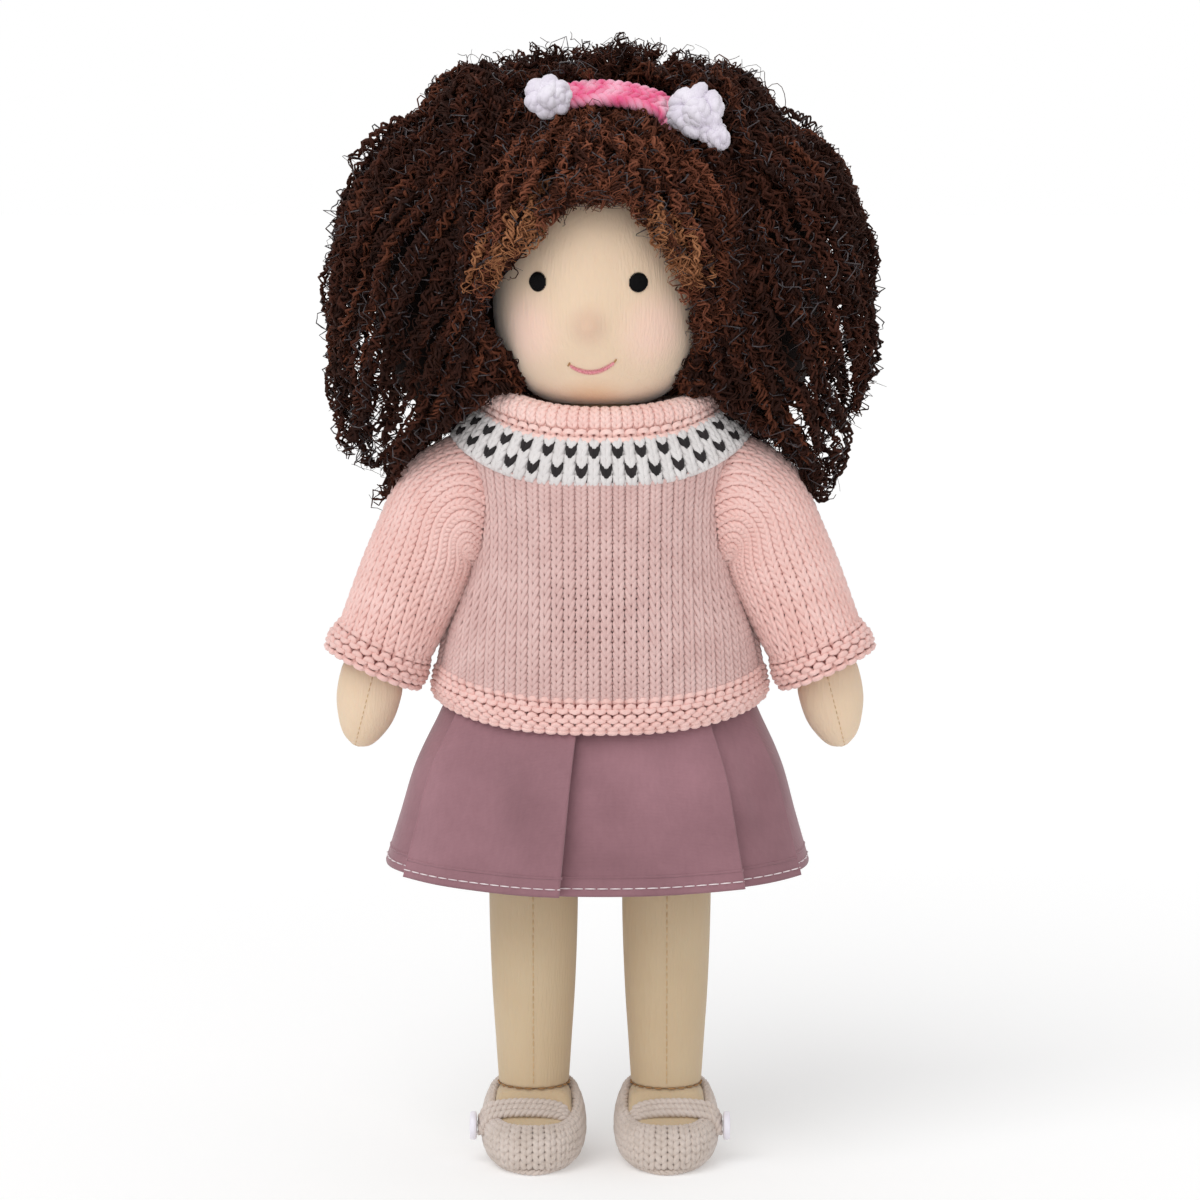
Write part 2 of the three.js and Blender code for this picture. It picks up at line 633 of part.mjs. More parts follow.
const cuffRows = [
  [...onArm(SLEEVE_LENGTH + GAP), armSlope, sleeveRadius - 0.2, sleeveRadius - 0.2],
  [...onArm(SLEEVE_LENGTH + CUFF_LENGTH / 2), armSlope, sleeveRadius + 0.6, sleeveRadius + 0.6],
  [...onArm(SLEEVE_LENGTH + CUFF_LENGTH), armSlope, sleeveRadius - 0.1, sleeveRadius - 0.1],
];
addPair("cuff", loft([...sleeveRings(0, cuffRows), ...sleeveRings(KNIT, cuffRows).reverse()], true), "pink");

// Skirt: an elastic waistband and one pleated sheet that flares from it.
const waistbandTop = hemBandBottom + 22;
const waistbandBottom = waistbandTop - WAISTBAND_HEIGHT;
const waistHalfWidth = HIP_HALF_WIDTH + GAP + WAISTBAND_THICKNESS;
const waistHalfDepth = HIP_HALF_DEPTH + GAP + WAISTBAND_THICKNESS;
add(
  "skirt_waistband",
  knitRing(
    [
      [waistbandBottom, waistHalfWidth, waistHalfDepth, 0],
      [waistbandTop, waistHalfWidth, waistHalfDepth, 0],
    ],
    WAISTBAND_THICKNESS,
  ),
  "skirt",
);
const skirtTop = waistbandBottom - GAP;
const skirtRows = smooth(
  [
    [0, waistHalfWidth, waistHalfDepth, 0],
    [0.12, HEM_HALF_WIDTH - KNIT - 5, HEM_HALF_DEPTH - KNIT - 4.5, 0.2],
    [0.26, HEM_HALF_WIDTH - KNIT - 1.8, HEM_HALF_DEPTH - KNIT - 1.8, 0.2],
    [0.4, SKIRT_HALF_WIDTH - 9.5, SKIRT_HALF_DEPTH - 7.5, 0.5],
    [0.7, SKIRT_HALF_WIDTH - 3.5, SKIRT_HALF_DEPTH - 3, 0.75],
    [1, SKIRT_HALF_WIDTH, SKIRT_HALF_DEPTH, 1],
  ],
  6,
);
function skirtRing([share, halfWidth, halfDepth, fold], wall) {
  const sides = 4 * PLEATS;
  return levelRing(skirtTop - share * SKIRT_LENGTH, halfWidth - wall, halfDepth - wall, sides).map((p, i) => {
    const swell = 1 + ((PLEAT_DEPTH * fold) / halfWidth) * (Math.sin((2 * Math.PI * PLEATS * i) / sides) - 0.4);
    return new THREE.Vector3(p.x * swell, p.y * swell, p.z);
  });
}
add(
  "skirt",
  loft([...skirtRows.map((row) => skirtRing(row, 0)), ...skirtRows.map((row) => skirtRing(row, CLOTH)).reverse()], true),
  "skirt",
);

// Head: an egg with its broad end down, flat underneath where it sits on the neck.
const headTop = headZ + HEAD_HEIGHT;
function egg(grow, rings, sides) {
  const rows = [];
  const middle = headZ + CHEEK_HEIGHT;
  for (let i = 0; i < rings; i += 1) {
    const turn = Math.PI * ((i + 0.4) / (rings - 0.2)) - Math.PI / 2;
    const high = turn < 0 ? CHEEK_HEIGHT + 2 : HEAD_HEIGHT - CHEEK_HEIGHT;
    const spread = turn < 0 ? Math.cos(turn) ** 0.85 : Math.cos(turn);
    rows.push([
      middle + (high + grow) * Math.sin(turn),
      (HEAD_HALF_WIDTH + grow) * spread,
      (HEAD_HALF_DEPTH + grow) * spread,
    ]);
  }
  return loft(rows.map(([z, a, b]) => levelRing(z, a, b, sides)));
}
const belowHead = (room) => box([-FAR, -FAR, headZ - FAR], [FAR, FAR, headZ + room]);
const skull = cut(egg(0, 11, BODY_SIDES), belowHead(0));
const headOpening = new THREE.CylinderGeometry(NECK_OPENING, NECK_OPENING, 12, LINING_SIDES)
  .rotateX(Math.PI / 2)
  .translate(0, 0, headZ);
add("head_skin", cut(skull, cut(egg(-SKIN, 8, LINING_SIDES), belowHead(SKIN)), headOpening), "skin");
add("head_stuffing", cut(egg(-SKIN - 1.5 * GAP, 8, LINING_SIDES), belowHead(SKIN + GAP)), "stuffing");

// Embroidery: eyes and mouth stand a thread's thickness off the skin.
function sewnOn(geometry) {
  const turned = geometry.clone().rotateZ(FACE_TURN);
  return cut(common(turned, egg(GAP + THREAD, 11, BODY_SIDES)), egg(GAP, 11, BODY_SIDES));
}
for (const [name, side] of [["eye_left", 1], ["eye_right", -1]]) {
  const eye = new THREE.CylinderGeometry(EYE_RADIUS, EYE_RADIUS, FAR, 12);
  add(name, sewnOn(eye.translate((side * EYE_SPACING) / 2, -FAR / 2, headZ + EYE_HEIGHT)), "dark");
}
const smile = new THREE.QuadraticBezierCurve3(
  new THREE.Vector3(-MOUTH_HALF_WIDTH, 0, headZ + MOUTH_HEIGHT + 0.8),
  new THREE.Vector3(0, 0, headZ + MOUTH_HEIGHT - 2.4),
  new THREE.Vector3(MOUTH_HALF_WIDTH, 0, headZ + MOUTH_HEIGHT + 0.8),
);
const lipRings = smile.getPoints(8).map((p) =>
  [[0, -1], [-FAR, -1], [-FAR, 1], [0, 1]].map(([y, up]) => new THREE.Vector3(p.x, y, p.z + (up * LIP_HEIGHT) / 2)),
);
add("mouth", sewnOn(loft(lipRings)), "mouth");

// Hair over the brow and temples: a thick cap with an arch left free for the face.
const hairMiddle = headZ + 0.5 * HEAD_HEIGHT;
function hairCap(grow) {
  const rows = [];
  const rings = 9;
  for (let i = 0; i < rings; i += 1) {
    const turn = Math.PI * ((i + 0.4) / (rings - 0.2)) - Math.PI / 2;
    const high = turn < 0 ? 0.5 * HEAD_HEIGHT : 0.5 * HEAD_HEIGHT + HAIR_FRONT_LIFT;
    const side = HEAD_HALF_WIDTH + HAIR_FRONT_SIDE * (turn < 0 ? 0.75 + 0.25 * Math.cos(turn) : 1);
    rows.push([
      hairMiddle + (high + grow) * Math.sin(turn),
      (side + grow) * Math.cos(turn) ** 0.7,
      (HEAD_HALF_DEPTH + HAIR_FRONT_LIFT + grow) * Math.cos(turn) ** 0.8,
    ]);
  }
  return loft(rows.map(([z, a, b]) => levelRing(z, a, b, HAIR_SIDES + 2)));
}
const faceArch = new THREE.Shape();
faceArch.moveTo(-HAIRLINE - 3, headZ - FAR);
faceArch.lineTo(-HAIRLINE - 3, headZ + 18);
faceArch.quadraticCurveTo(-HAIRLINE + 1, headZ + 48, -1, headZ + 54);
faceArch.quadraticCurveTo(HAIRLINE - 1, headZ + 48, HAIRLINE + 3, headZ + 18);
faceArch.lineTo(HAIRLINE + 3, headZ - FAR);
const faceWindow = new THREE.ExtrudeGeometry(faceArch, { depth: FAR, bevelEnabled: false, curveSegments: 5 }).rotateX(
  Math.PI / 2,
);
const behindCap = box([-FAR, CAP_BACK, headZ - FAR], [FAR, FAR, headZ + FAR]);
const belowCap = box([-FAR, -FAR, headZ - FAR], [FAR, FAR, collarTop + 1.5]);
const cap = cut(hairCap(0), egg(GAP, 11, BODY_SIDES), faceWindow, behindCap, belowCap);
add("hair_front", cap, "hair");

// The crocheted band arches over the crown, with a flower at each end.
function arch(radiusA, radiusB, low, halfWidth) {
  const rings = [];
  for (let i = 0; i <= 12; i += 1) {
    const turn = Math.PI * (0.16 + (0.68 * i) / 12);
    const outwards = new THREE.Vector3(Math.cos(turn), 0, Math.sin(turn));
    const middle = new THREE.Vector3(radiusA * outwards.x, BAND_Y, hairMiddle + radiusB * outwards.z);
    rings.push(ellipse(middle, outwards.multiplyScalar(low), new THREE.Vector3(0, halfWidth, 0), 8));
  }
  return loft(rings);
}
const bandUp = 0.5 * HEAD_HEIGHT + HAIR_FRONT_LIFT + GAP + BAND_THICKNESS / 2 + 1;
const bandOut = HEAD_HALF_WIDTH + HAIR_FRONT_SIDE + GAP + BAND_THICKNESS / 2 + 1;
const band = cut(arch(bandOut, bandUp, BAND_THICKNESS / 2 + 0.8, BAND_WIDTH / 2), hairCap(GAP));
const bandRoom = arch(bandOut, bandUp, BAND_THICKNESS / 2 + 0.8 + GAP, BAND_WIDTH / 2 + GAP);
add("hair_band", band, "band");
function flower(radius, grow) {
  const puffs = [new THREE.SphereGeometry(radius * 0.55 + grow, 8, 5)];
  for (let i = 0; i < PETALS; i += 1) {
    const turn = (2 * Math.PI * i) / PETALS;
    puffs.push(
      new THREE.SphereGeometry(radius * 0.42 + grow, 7, 5)
        .scale(1, 0.8, 1)
        .translate(0.58 * radius * Math.cos(turn), -0.6, 0.58 * radius * Math.sin(turn)),
    );
  }
  return join(...puffs);
}
const flowers = [
  ["hair_flower_left", 25, hairMiddle + 39.5, FLOWER_RADIUS + 1.6],
  ["hair_flower_right", -14, hairMiddle + 44.5, FLOWER_RADIUS],
].map(([name, x, z, radius]) => {
  const at = [x, BAND_Y - FLOWER_FRONT, z];
  return { name, shape: flower(radius, 0).translate(...at), room: flower(radius, GAP).translate(...at) };
});
const capRoom = cut(hairCap(GAP), belowCap);
for (const { name, shape } of flowers) add(name, cut(shape, hairCap(GAP), bandRoom), "flower");

// Bunches: each springs from the crown, arches over the ear and hangs outside the shoulder.
// Each row is x, y and z of the middle, and half the thickness sideways and front to back, in head heights.
const inHeads = (row) => row.map((size) => size * HEAD_HEIGHT);
function bunch(grow) {
  const reach = BUNCH_REACH / HEAD_HEIGHT - 0.315;
  const top = 1 + HAIR_TOP / HEAD_HEIGHT;
  const rows = smooth(
    [
      [0.043, 0.1, top - 0.257, 0.1, 0.157],
      [0.257, 0.086, top - 0.3, 0.243, 0.257],
      [0.529, 0.071, top - 0.486, 0.271, 0.314],
      [reach - 0.057, 0.086, 0.629, 0.3, 0.343],
      [reach, 0.157, 0.229, 0.3, 0.314],
      [reach + 0.014, 0.271, -0.057, 0.2, 0.214],
      [reach + 0.043, 0.357, -0.257, 0.136, 0.143],
      [reach + 0.057, 0.386, -BUNCH_DROP / HEAD_HEIGHT, 0.043, 0.043],
    ].map(inHeads),
    9,
  );
  const middles = rows.map(([x, y, z]) => new THREE.Vector3(x, y, headZ + z));
  return loft(
    rows.map(([, , , wide, deep], i) => {
      const ahead = middles[Math.min(i + 1, rows.length - 1)].clone().sub(middles[Math.max(i - 1, 0)]).normalize();
      const back = new THREE.Vector3(0, 1, 0);
      const side = back.clone().cross(ahead).normalize();
      return ellipse(middles[i], side.multiplyScalar(wide + grow), back.multiplyScalar(deep + grow), HAIR_SIDES);
    }),
  );
}
const shoulderTop = headZ - 5;
const shoulderDome = new THREE.LatheGeometry(
  [
    [0, -1.25],
    [1, -1.25],
    [1, -0.285],
    [0.91, -0.107],
    [0.715, 0],
    [0, 0.054],
  ].map(([r, z]) => new THREE.Vector2(r * SHOULDER_CLEAR, shoulderTop + z * SHOULDER_CLEAR)),
  24,
).rotateX(Math.PI / 2);
const shoulderRoom = (plane) => cut(shoulderDome, box([-FAR, plane, headZ - FAR], [FAR, FAR, headTop]));
const bunchRoom = shoulderRoom(HAIR_BACK_PLANE);
const halfRoom = box([-FAR, -FAR, headZ - FAR], [GAP / 2, FAR, headZ + FAR]);
const headRoom = [egg(GAP, 11, BODY_SIDES), capRoom, bandRoom, ...flowers.map((f) => f.room)];
add("hair_bunch_left", cut(bunch(0), ...headRoom, halfRoom, bunchRoom), "hair");
add("hair_bunch_right", cut(mirrored(bunch(0)), ...headRoom, mirrored(halfRoom), bunchRoom), "hair");

// The hair behind the head, from the crown down the back of the neck.
// Each row is z, half width, y of the middle and half depth, in head heights.
function mane(grow) {
  const top = 1 + HAIR_TOP / HEAD_HEIGHT;
  const rows = smooth(
    [
      [top, 0.129, 0.2, 0.1],
      [top - 0.071, 0.343, 0.257, 0.229],
      [1, 0.543, 0.343, 0.371],
      [0.6, 0.643, 0.314, 0.4],
      [0.171, 0.629, 0.386, 0.329],
      [-0.114, 0.514, 0.543, 0.171],
      [0.043 - BUNCH_DROP / HEAD_HEIGHT, 0.343, 0.571, 0.086],
    ].map(inHeads),
    8,
  );
  return loft(
    rows.map(([z, wide, y, deep]) => {
      const middle = new THREE.Vector3(0, Math.min(y, MANE_BACK - deep), 0);
      return levelRing(headZ + z, wide + grow, deep + grow, HAIR_SIDES).map((p) => p.add(middle));
    }),
  );
}
const collarRoom = loft(
  [
    [neckZ - FAR, NECK_CLEAR, NAPE],
    [yokeTop, NECK_CLEAR, NAPE],
    [collarTop + 1.5, NECK_CLEAR - 2, NAPE - 2.5],
  ].map(([z, wide, deep]) => levelRing(z, wide, deep, BODY_SIDES + 2)),
);
add(
  "hair_mane",
  cut(mane(0), ...headRoom, bunch(GAP), mirrored(bunch(GAP)), collarRoom, shoulderRoom(NAPE)),
  "hair",
);

// The origin goes to the bottom centre of the whole box.
const whole = new THREE.Box3().setFromObject(doll);
const middle = whole.getCenter(new THREE.Vector3());
doll.position.set(-middle.x, -middle.y, -whole.min.z);
console.log(
  JSON.stringify({
    shift: doll.position.toArray(),
    hip: [0, 0, hipZ],
    leg: [LEG_SPREAD, 0, hipZ],
    shoulder: [shoulderX, 0, shoulderZ],
    neck: [0, 0, headZ],
    strap: [new THREE.Box3().setFromObject(doll.getObjectByName("shoe_strap_left")).min.x, -STRAP_FRONT + STRAP_WIDTH / 2, strapRim + GAP],
    size: whole.getSize(new THREE.Vector3()).toArray(),
  }),
);

export default doll;
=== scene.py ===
"""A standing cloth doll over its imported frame: stuffed jersey body, curly yarn hair, hand-knitted
sweater, pleated skirt and crocheted shoes. Metres, +Z up, and the doll faces -Y."""
import json
import math

import bpy
import numpy as np
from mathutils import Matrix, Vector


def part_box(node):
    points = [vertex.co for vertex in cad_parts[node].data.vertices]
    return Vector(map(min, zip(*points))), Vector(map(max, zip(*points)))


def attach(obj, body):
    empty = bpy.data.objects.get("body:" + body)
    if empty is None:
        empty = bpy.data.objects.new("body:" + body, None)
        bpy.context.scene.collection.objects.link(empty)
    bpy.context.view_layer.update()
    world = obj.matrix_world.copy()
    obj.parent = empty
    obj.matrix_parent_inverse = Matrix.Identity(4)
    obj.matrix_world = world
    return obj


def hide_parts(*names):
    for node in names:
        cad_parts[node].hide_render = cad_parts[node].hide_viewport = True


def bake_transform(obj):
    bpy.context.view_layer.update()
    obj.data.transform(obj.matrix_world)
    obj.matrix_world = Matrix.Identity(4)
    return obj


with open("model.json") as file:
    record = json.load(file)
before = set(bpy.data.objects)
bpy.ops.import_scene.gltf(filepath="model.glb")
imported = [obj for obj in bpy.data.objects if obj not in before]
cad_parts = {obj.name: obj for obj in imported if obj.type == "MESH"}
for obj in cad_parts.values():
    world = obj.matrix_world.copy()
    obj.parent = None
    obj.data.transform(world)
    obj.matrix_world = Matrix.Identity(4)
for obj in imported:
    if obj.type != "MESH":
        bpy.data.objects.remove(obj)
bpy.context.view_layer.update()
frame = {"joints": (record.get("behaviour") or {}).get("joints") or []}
rng = np.random.default_rng(31)
MM = 0.001
SIDES = (("left", 1), ("right", -1))
FRONT = np.array([0.0, -1.0, 0.0])


# Places, all read from the frame

def span(node):
    return tuple(np.array(corner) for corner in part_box(node))


def middle(node):
    return sum(span(node)) / 2


joints = {j["name"]: np.array(j["pos_m"]) for j in frame["joints"]}
shoulder = joints["arm_left_swing"]
hip = joints["leg_left_swing"]
neck_z = joints["head_turn"][2]
axis_y = hip[1]
head_low, head_high = span("head_skin")
hem_low = span("sweater_hem_band")[0]
bodice_low, bodice_high = span("sweater_bodice")
yoke_low, yoke_high = span("sweater_yoke")
collar_low, collar_high = span("sweater_collar")
cap_low, cap_high = span("hair_front")
arm_reach = np.linalg.norm((middle("cuff_left") - shoulder) * [1, 0, 1])
arm_along = (middle("cuff_left") - shoulder) * [1, 0, 1] / arm_reach
CUFF_HALF = 3.75 * MM  # half the cuff's length along the arm
HAND = 21.5 * MM  # how far the hand shows beyond the cuff


# Curves and meshes

def unit(v):
    return v / np.maximum(np.linalg.norm(v, axis=-1, keepdims=True), 1e-12)


def squared(v, ahead):
    """The directions of v at right angles to ahead."""
    return unit(v - (v * ahead).sum(-1, keepdims=True) * ahead)


def spin(angle):
    """A turn about the upright axis, for rows of points."""
    c, s = math.cos(angle), math.sin(angle)
    return np.array([[c, s, 0], [-s, c, 0], [0, 0, 1]])


def around(count):
    return 2 * np.pi * np.arange(count) / count


def oval(turn, x, y, z, wide, deep):
    """Points at the angles turn, from the front, of level ellipses round x and y at height z."""
    return np.stack(np.broadcast_arrays(x + wide * np.sin(turn), y - deep * np.cos(turn), z + 0 * turn), -1)


def smooth(rows, t):
    """Values at t, in row numbers, on a smooth curve through rows."""
    rows = np.asarray(rows, float)
    last = len(rows) - 1
    t = np.clip(np.asarray(t, float), 0, last)
    i = np.minimum(t.astype(int), last - 1)
    f = (t - i)[..., None]
    before, a, b, after = rows[np.maximum(i - 1, 0)], rows[i], rows[i + 1], rows[np.minimum(i + 2, last)]
    square, cube = 2 * before - 5 * a + 4 * b - after, 3 * a - before - 3 * b + after
    return 0.5 * (2 * a + (b - before) * f + square * f**2 + cube * f**3)


def resampled(rows, count):
    return smooth(rows, np.linspace(0, len(rows) - 1, count))


def at_row(shape, row, rows):
    """A shape's values at a row of a piece with so many rows."""
    return smooth(shape, np.asarray(row) * (len(shape) - 1) / rows).T


def ease(x, low, high):
    t = np.clip((x - low) / (high - low), 0, 1)
    return t * t * (3 - 2 * t)


def lengths(path):
    """The length along a path up to each of its points."""
    return np.concatenate([[0], np.cumsum(np.linalg.norm(np.diff(path, axis=0), axis=1))])


def grid_faces(rows, columns):
    """Quads between rows of points, joined round each row."""
    i, j = np.meshgrid(np.arange(rows - 1), np.arange(columns), indexing="ij")
    k = (j + 1) % columns
    quads = [i * columns + j, i * columns + k, (i + 1) * columns + k, (i + 1) * columns + j]
    return np.stack(quads, -1).reshape(-1, 4)


def fan_faces(sides):
    """Quads that close a ring."""
    return np.array([[0, a, a + 1, a + 2] for a in range(1, sides - 1, 2)])


def tubes(paths, radii, sides=4, closed=False, outwards=None):
    """Round threads along paths (n, m, 3): points and quads. Open ones of 4 or more sides are capped."""
    n, m = paths.shape[:2]
    ahead = unit(np.roll(paths, -1, 1) - np.roll(paths, 1, 1) if closed else np.gradient(paths, axis=1))
    if outwards is None:
        side = np.empty_like(ahead)
        side[:, 0] = unit(np.cross(ahead[:, 0], [0.31, 0.87, 0.38]))
        for i in range(1, m):
            side[:, i] = squared(side[:, i - 1], ahead[:, i])
    else:
        side = squared(outwards, ahead)
    turn = around(sides)[:, None]
    ring = np.cos(turn) * side[:, :, None] + np.sin(turn) * np.cross(ahead, side)[:, :, None]
    points = paths[:, :, None] + radii[:, :, None, None] * ring
    one = grid_faces(m + closed, sides) % (m * sides)
    if not closed and sides > 3:
        one = np.concatenate([one, fan_faces(sides)[:, ::-1], fan_faces(sides) + (m - 1) * sides])
    faces = one[None] + (np.arange(n) * m * sides)[:, None, None]
    return points.reshape(-1, 3), faces.reshape(-1, 4)


def strip_uv(n, m, sides):
    """A place in the unit square for every quad of n open threads, one strip each."""
    j, k = np.meshgrid(np.arange(m - 1), np.arange(sides), indexing="ij")
    u = np.stack([j, j, j + 1, j + 1], -1) / (m - 1)
    v = np.stack([k, k + 1, k + 1, k], -1) / sides
    every = np.tile(np.stack([u, v], -1).reshape(-1, 4, 2), (n, 1, 1, 1))
    every[..., 1] = (every[..., 1] * 0.9 + np.arange(n)[:, None, None]) / n
    return every


def new_piece(name, points, faces, materials, numbers=0, uv=None):
    """A mesh object from points, faces that all have as many corners, and a material number per face."""
    points, faces = np.asarray(points, np.float32).ravel(), np.asarray(faces, np.int32)
    mesh = bpy.data.meshes.new(name)
    mesh.vertices.add(len(points) // 3)
    mesh.vertices.foreach_set("co", points)
    mesh.loops.add(faces.size)
    mesh.loops.foreach_set("vertex_index", faces.ravel())
    mesh.polygons.add(len(faces))
    mesh.polygons.foreach_set("loop_start", np.arange(0, faces.size, faces.shape[1], dtype=np.int32))
    mesh.polygons.foreach_set("use_smooth", np.ones(len(faces), bool))
    for material in materials:
        mesh.materials.append(material)
    mesh.polygons.foreach_set("material_index", np.full(len(faces), numbers, np.int32))
    if uv is not None:
        mesh.uv_layers.new(name="OFBake").uv.foreach_set("vector", uv.astype(np.float32).ravel())
    mesh.update(calc_edges=True)
    piece = bpy.data.objects.new(name, mesh)
    bpy.context.scene.collection.objects.link(piece)
    return piece


def joined(name, parts, materials):
    """One piece from parts of points, faces and material numbers."""
    starts = np.cumsum([0] + [p.size // 3 for p, _, _ in parts])
    points = np.concatenate([p.reshape(-1, 3) for p, _, _ in parts])
    faces = np.concatenate([f + start for (_, f, _), start in zip(parts, starts)])
    numbers = np.concatenate([np.full(len(f), number) for _, f, number in parts])
    return new_piece(name, points, faces, materials, numbers)


def mirror(piece, sign):
    """Turns a piece made for the left side into the right one."""
    if sign > 0:
        return
    mesh = piece.data
    co = np.empty(3 * len(mesh.vertices), np.float32)
    mesh.vertices.foreach_get("co", co)
    mesh.vertices.foreach_set("co", (co.reshape(-1, 3) * np.float32([-1, 1, 1])).ravel())
    mesh.flip_normals()
    mesh.update()


def dress(piece, body, slot, *nodes, filled=None, sign=1):
    """Gives a piece its side and body, and hides the solids that it replaces. The arguments slot and filled (how
    full its stuffing is) are not used.
    """
    mirror(piece, sign)
    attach(piece, body)
    if nodes:
        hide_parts(*nodes)


# Materials

def feed(node, inputs):
    """Sets inputs, by name or number, to values or to outputs of other nodes."""
    for key, value in inputs.items():
        if isinstance(value, bpy.types.NodeSocket):
            node.id_data.links.new(value, node.inputs[key])
        else:
            node.inputs[key].default_value = value


def add(tree, kind, inputs, **settings):
    node = tree.nodes.new("ShaderNode" + kind)
    for key, value in settings.items():
        setattr(node, key, value)
    feed(node, inputs)
    return node


def coordinates(tree):
    return add(tree, "TexCoord", {}).outputs["Object"]


def noise(tree, scale, detail=2.0, stretch=None):
    place = coordinates(tree)
    if stretch:
        place = add(tree, "Mapping", {"Vector": place, "Scale": stretch}).outputs["Vector"]
    return add(tree, "TexNoise", {"Vector": place, "Scale": scale, "Detail": detail}).outputs["Fac"]


def linear(colour):
    """An sRGB colour from 0 to 255 as linear light, and full alpha."""
    c = np.array(colour, float) / 255
    return (*np.where(c <= 0.04045, c / 12.92, ((c + 0.055) / 1.055) ** 2.4), 1)


def ramp(tree, value, *stops):
    made = add(tree, "ValToRGB", {"Fac": value})
    elements = made.color_ramp.elements
    while len(elements) < len(stops):
        elements.new(0.5)
    for element, (at, colour) in zip(elements, stops):
        element.position, element.color = at, linear(colour)
    return made.outputs["Color"]


def mixed(tree, factor, a, b, how="MIX"):
    inputs = {"Factor": factor, "A": a, "B": b}
    return add(tree, "Mix", inputs, data_type="RGBA", blend_type=how).outputs["Result"]


def bump(tree, height, distance=0.0002, strength=0.6):
    return add(tree, "Bump", {"Height": height, "Distance": distance, "Strength": strength}).outputs["Normal"]


def made_of(name, look):
    """A material; look(tree) gives the inputs of its shader."""
    material = bpy.data.materials.new(name)
    material.use_nodes = True
    tree = material.node_tree
    feed(tree.nodes["Principled BSDF"], look(tree))
    return material


def yarn(name, light, dark, sheen=0.35):
    """Spun yarn: a soft change of tone and a fine fibrous bump."""
    return made_of(name, lambda tree: {
        "Base Color": ramp(tree, noise(tree, 140), (0.32, dark), (0.66, light)), "Roughness": 0.9,
        "Sheen Weight": sheen, "Sheen Roughness": 0.6, "Normal": bump(tree, noise(tree, 2600, 3)),
    })


def satin(name, light, dark, shine=0.5):
    """Shiny embroidery thread."""
    return made_of(name, lambda tree: {
        "Base Color": ramp(tree, noise(tree, 1800), (0.35, dark), (0.65, light)), "Roughness": 0.5,
        "Specular IOR Level": shine,
    })


def plastic(name, light, dark):
    colour = lambda tree: ramp(tree, noise(tree, 300), (0.3, dark), (0.7, light))
    return made_of(name, lambda tree: {"Base Color": colour(tree), "Roughness": 0.3})


def jersey(name, light, dark, blushes_and_painted_shade=(), sheen=0.15):
    """Stretch jersey: fine upright ribs, faint mottling, and soft rounds of colour (place, radius, colour)."""

    def look(tree):
        colour = ramp(tree, noise(tree, 38, 3), (0.3, dark), (0.7, light))
        for place, radius, tint in blushes_and_painted_shade:
            far = add(tree, "VectorMath", {0: coordinates(tree), 1: place}, operation="DISTANCE")
            reach = {"Value": far.outputs["Value"], "From Min": radius, "From Max": 0.15 * radius}
            fade = add(tree, "MapRange", reach, interpolation_type="SMOOTHSTEP").outputs["Result"]
            colour = mixed(tree, fade, colour, linear(tint))
        return {
            "Base Color": colour, "Roughness": 0.9, "Sheen Weight": sheen, "Subsurface Weight": 0.12,
            "Subsurface Radius": (0.004, 0.002, 0.001), "Subsurface Scale": 0.4,
            "Normal": bump(tree, noise(tree, 1500, 2, (1, 1, 0.12)), 0.0003, 0.7),
        }

    return made_of(name, look)


def skirt_cloth(tree):
    """Woven cloth: a crosswise weave and slubs that darken it."""
    colour = ramp(tree, noise(tree, 30, 3), (0.3, (135, 94, 102)), (0.7, (163, 118, 127)))
    threads = {"Vector": coordinates(tree), "Scale": 900, "Distortion": 1.5}
    weave = add(tree, "TexWave", threads, bands_direction="Z").outputs["Fac"]
    slub = noise(tree, 900, 2, (1, 1, 0.3))
    height = add(tree, "Math", {0: weave, 1: slub}).outputs[0]
    return {
        "Base Color": mixed(tree, slub, colour, (0.86, 0.84, 0.85, 1), "MULTIPLY"), "Roughness": 0.8,
        "Sheen Weight": 0.2, "Normal": bump(tree, height, 0.0001, 0.5),
    }


def hair_yarn(name, dark, light, shine=0.14, roughness=0.7):
    return made_of(name, lambda tree: {
        "Base Color": ramp(tree, noise(tree, 260, 3), (0.3, dark), (0.72, light)), "Roughness": roughness,
        "Specular IOR Level": shine, "Sheen Weight": 0.06, "Sheen Tint": linear((200, 130, 90)),
        "Normal": bump(tree, noise(tree, 3500, 2)),
    })


def band_yarn(tree):
    """Yarn dyed in changing pinks."""
    pinks = (0.36, (250, 214, 226)), (0.46, (246, 164, 192)), (0.56, (234, 88, 140)), (0.66, (248, 190, 210))
    return {
        "Base Color": ramp(tree, noise(tree, 75, 1), *pinks), "Roughness": 0.9, "Sheen Weight": 0.3,
        "Normal": bump(tree, noise(tree, 2600, 3)),
    }


pink_yarn = yarn("sweater_pink", (243, 203, 196), (237, 192, 184))
# The body's yarn is a darker, greyer copy of the sleeves' pink: painted shade for the self-shadow in its columns.
painted_shade_body_pink = yarn("sweater_pink_body", (223, 189, 184), (213, 176, 171))
# The linings behind the stitches of the body, hem, sleeves and cuffs are darker copies of their yarn: painted
# shade between the stitches.
painted_gap_shade_body = yarn("sweater_pink_gaps", (164, 98, 90), (150, 86, 78), sheen=0.1)
painted_gap_shade_pink = yarn("sweater_pink_back", (200, 132, 125), (186, 116, 109), sheen=0.1)
collar_pink = yarn("sweater_pink_collar", (251, 216, 208), (246, 205, 197))
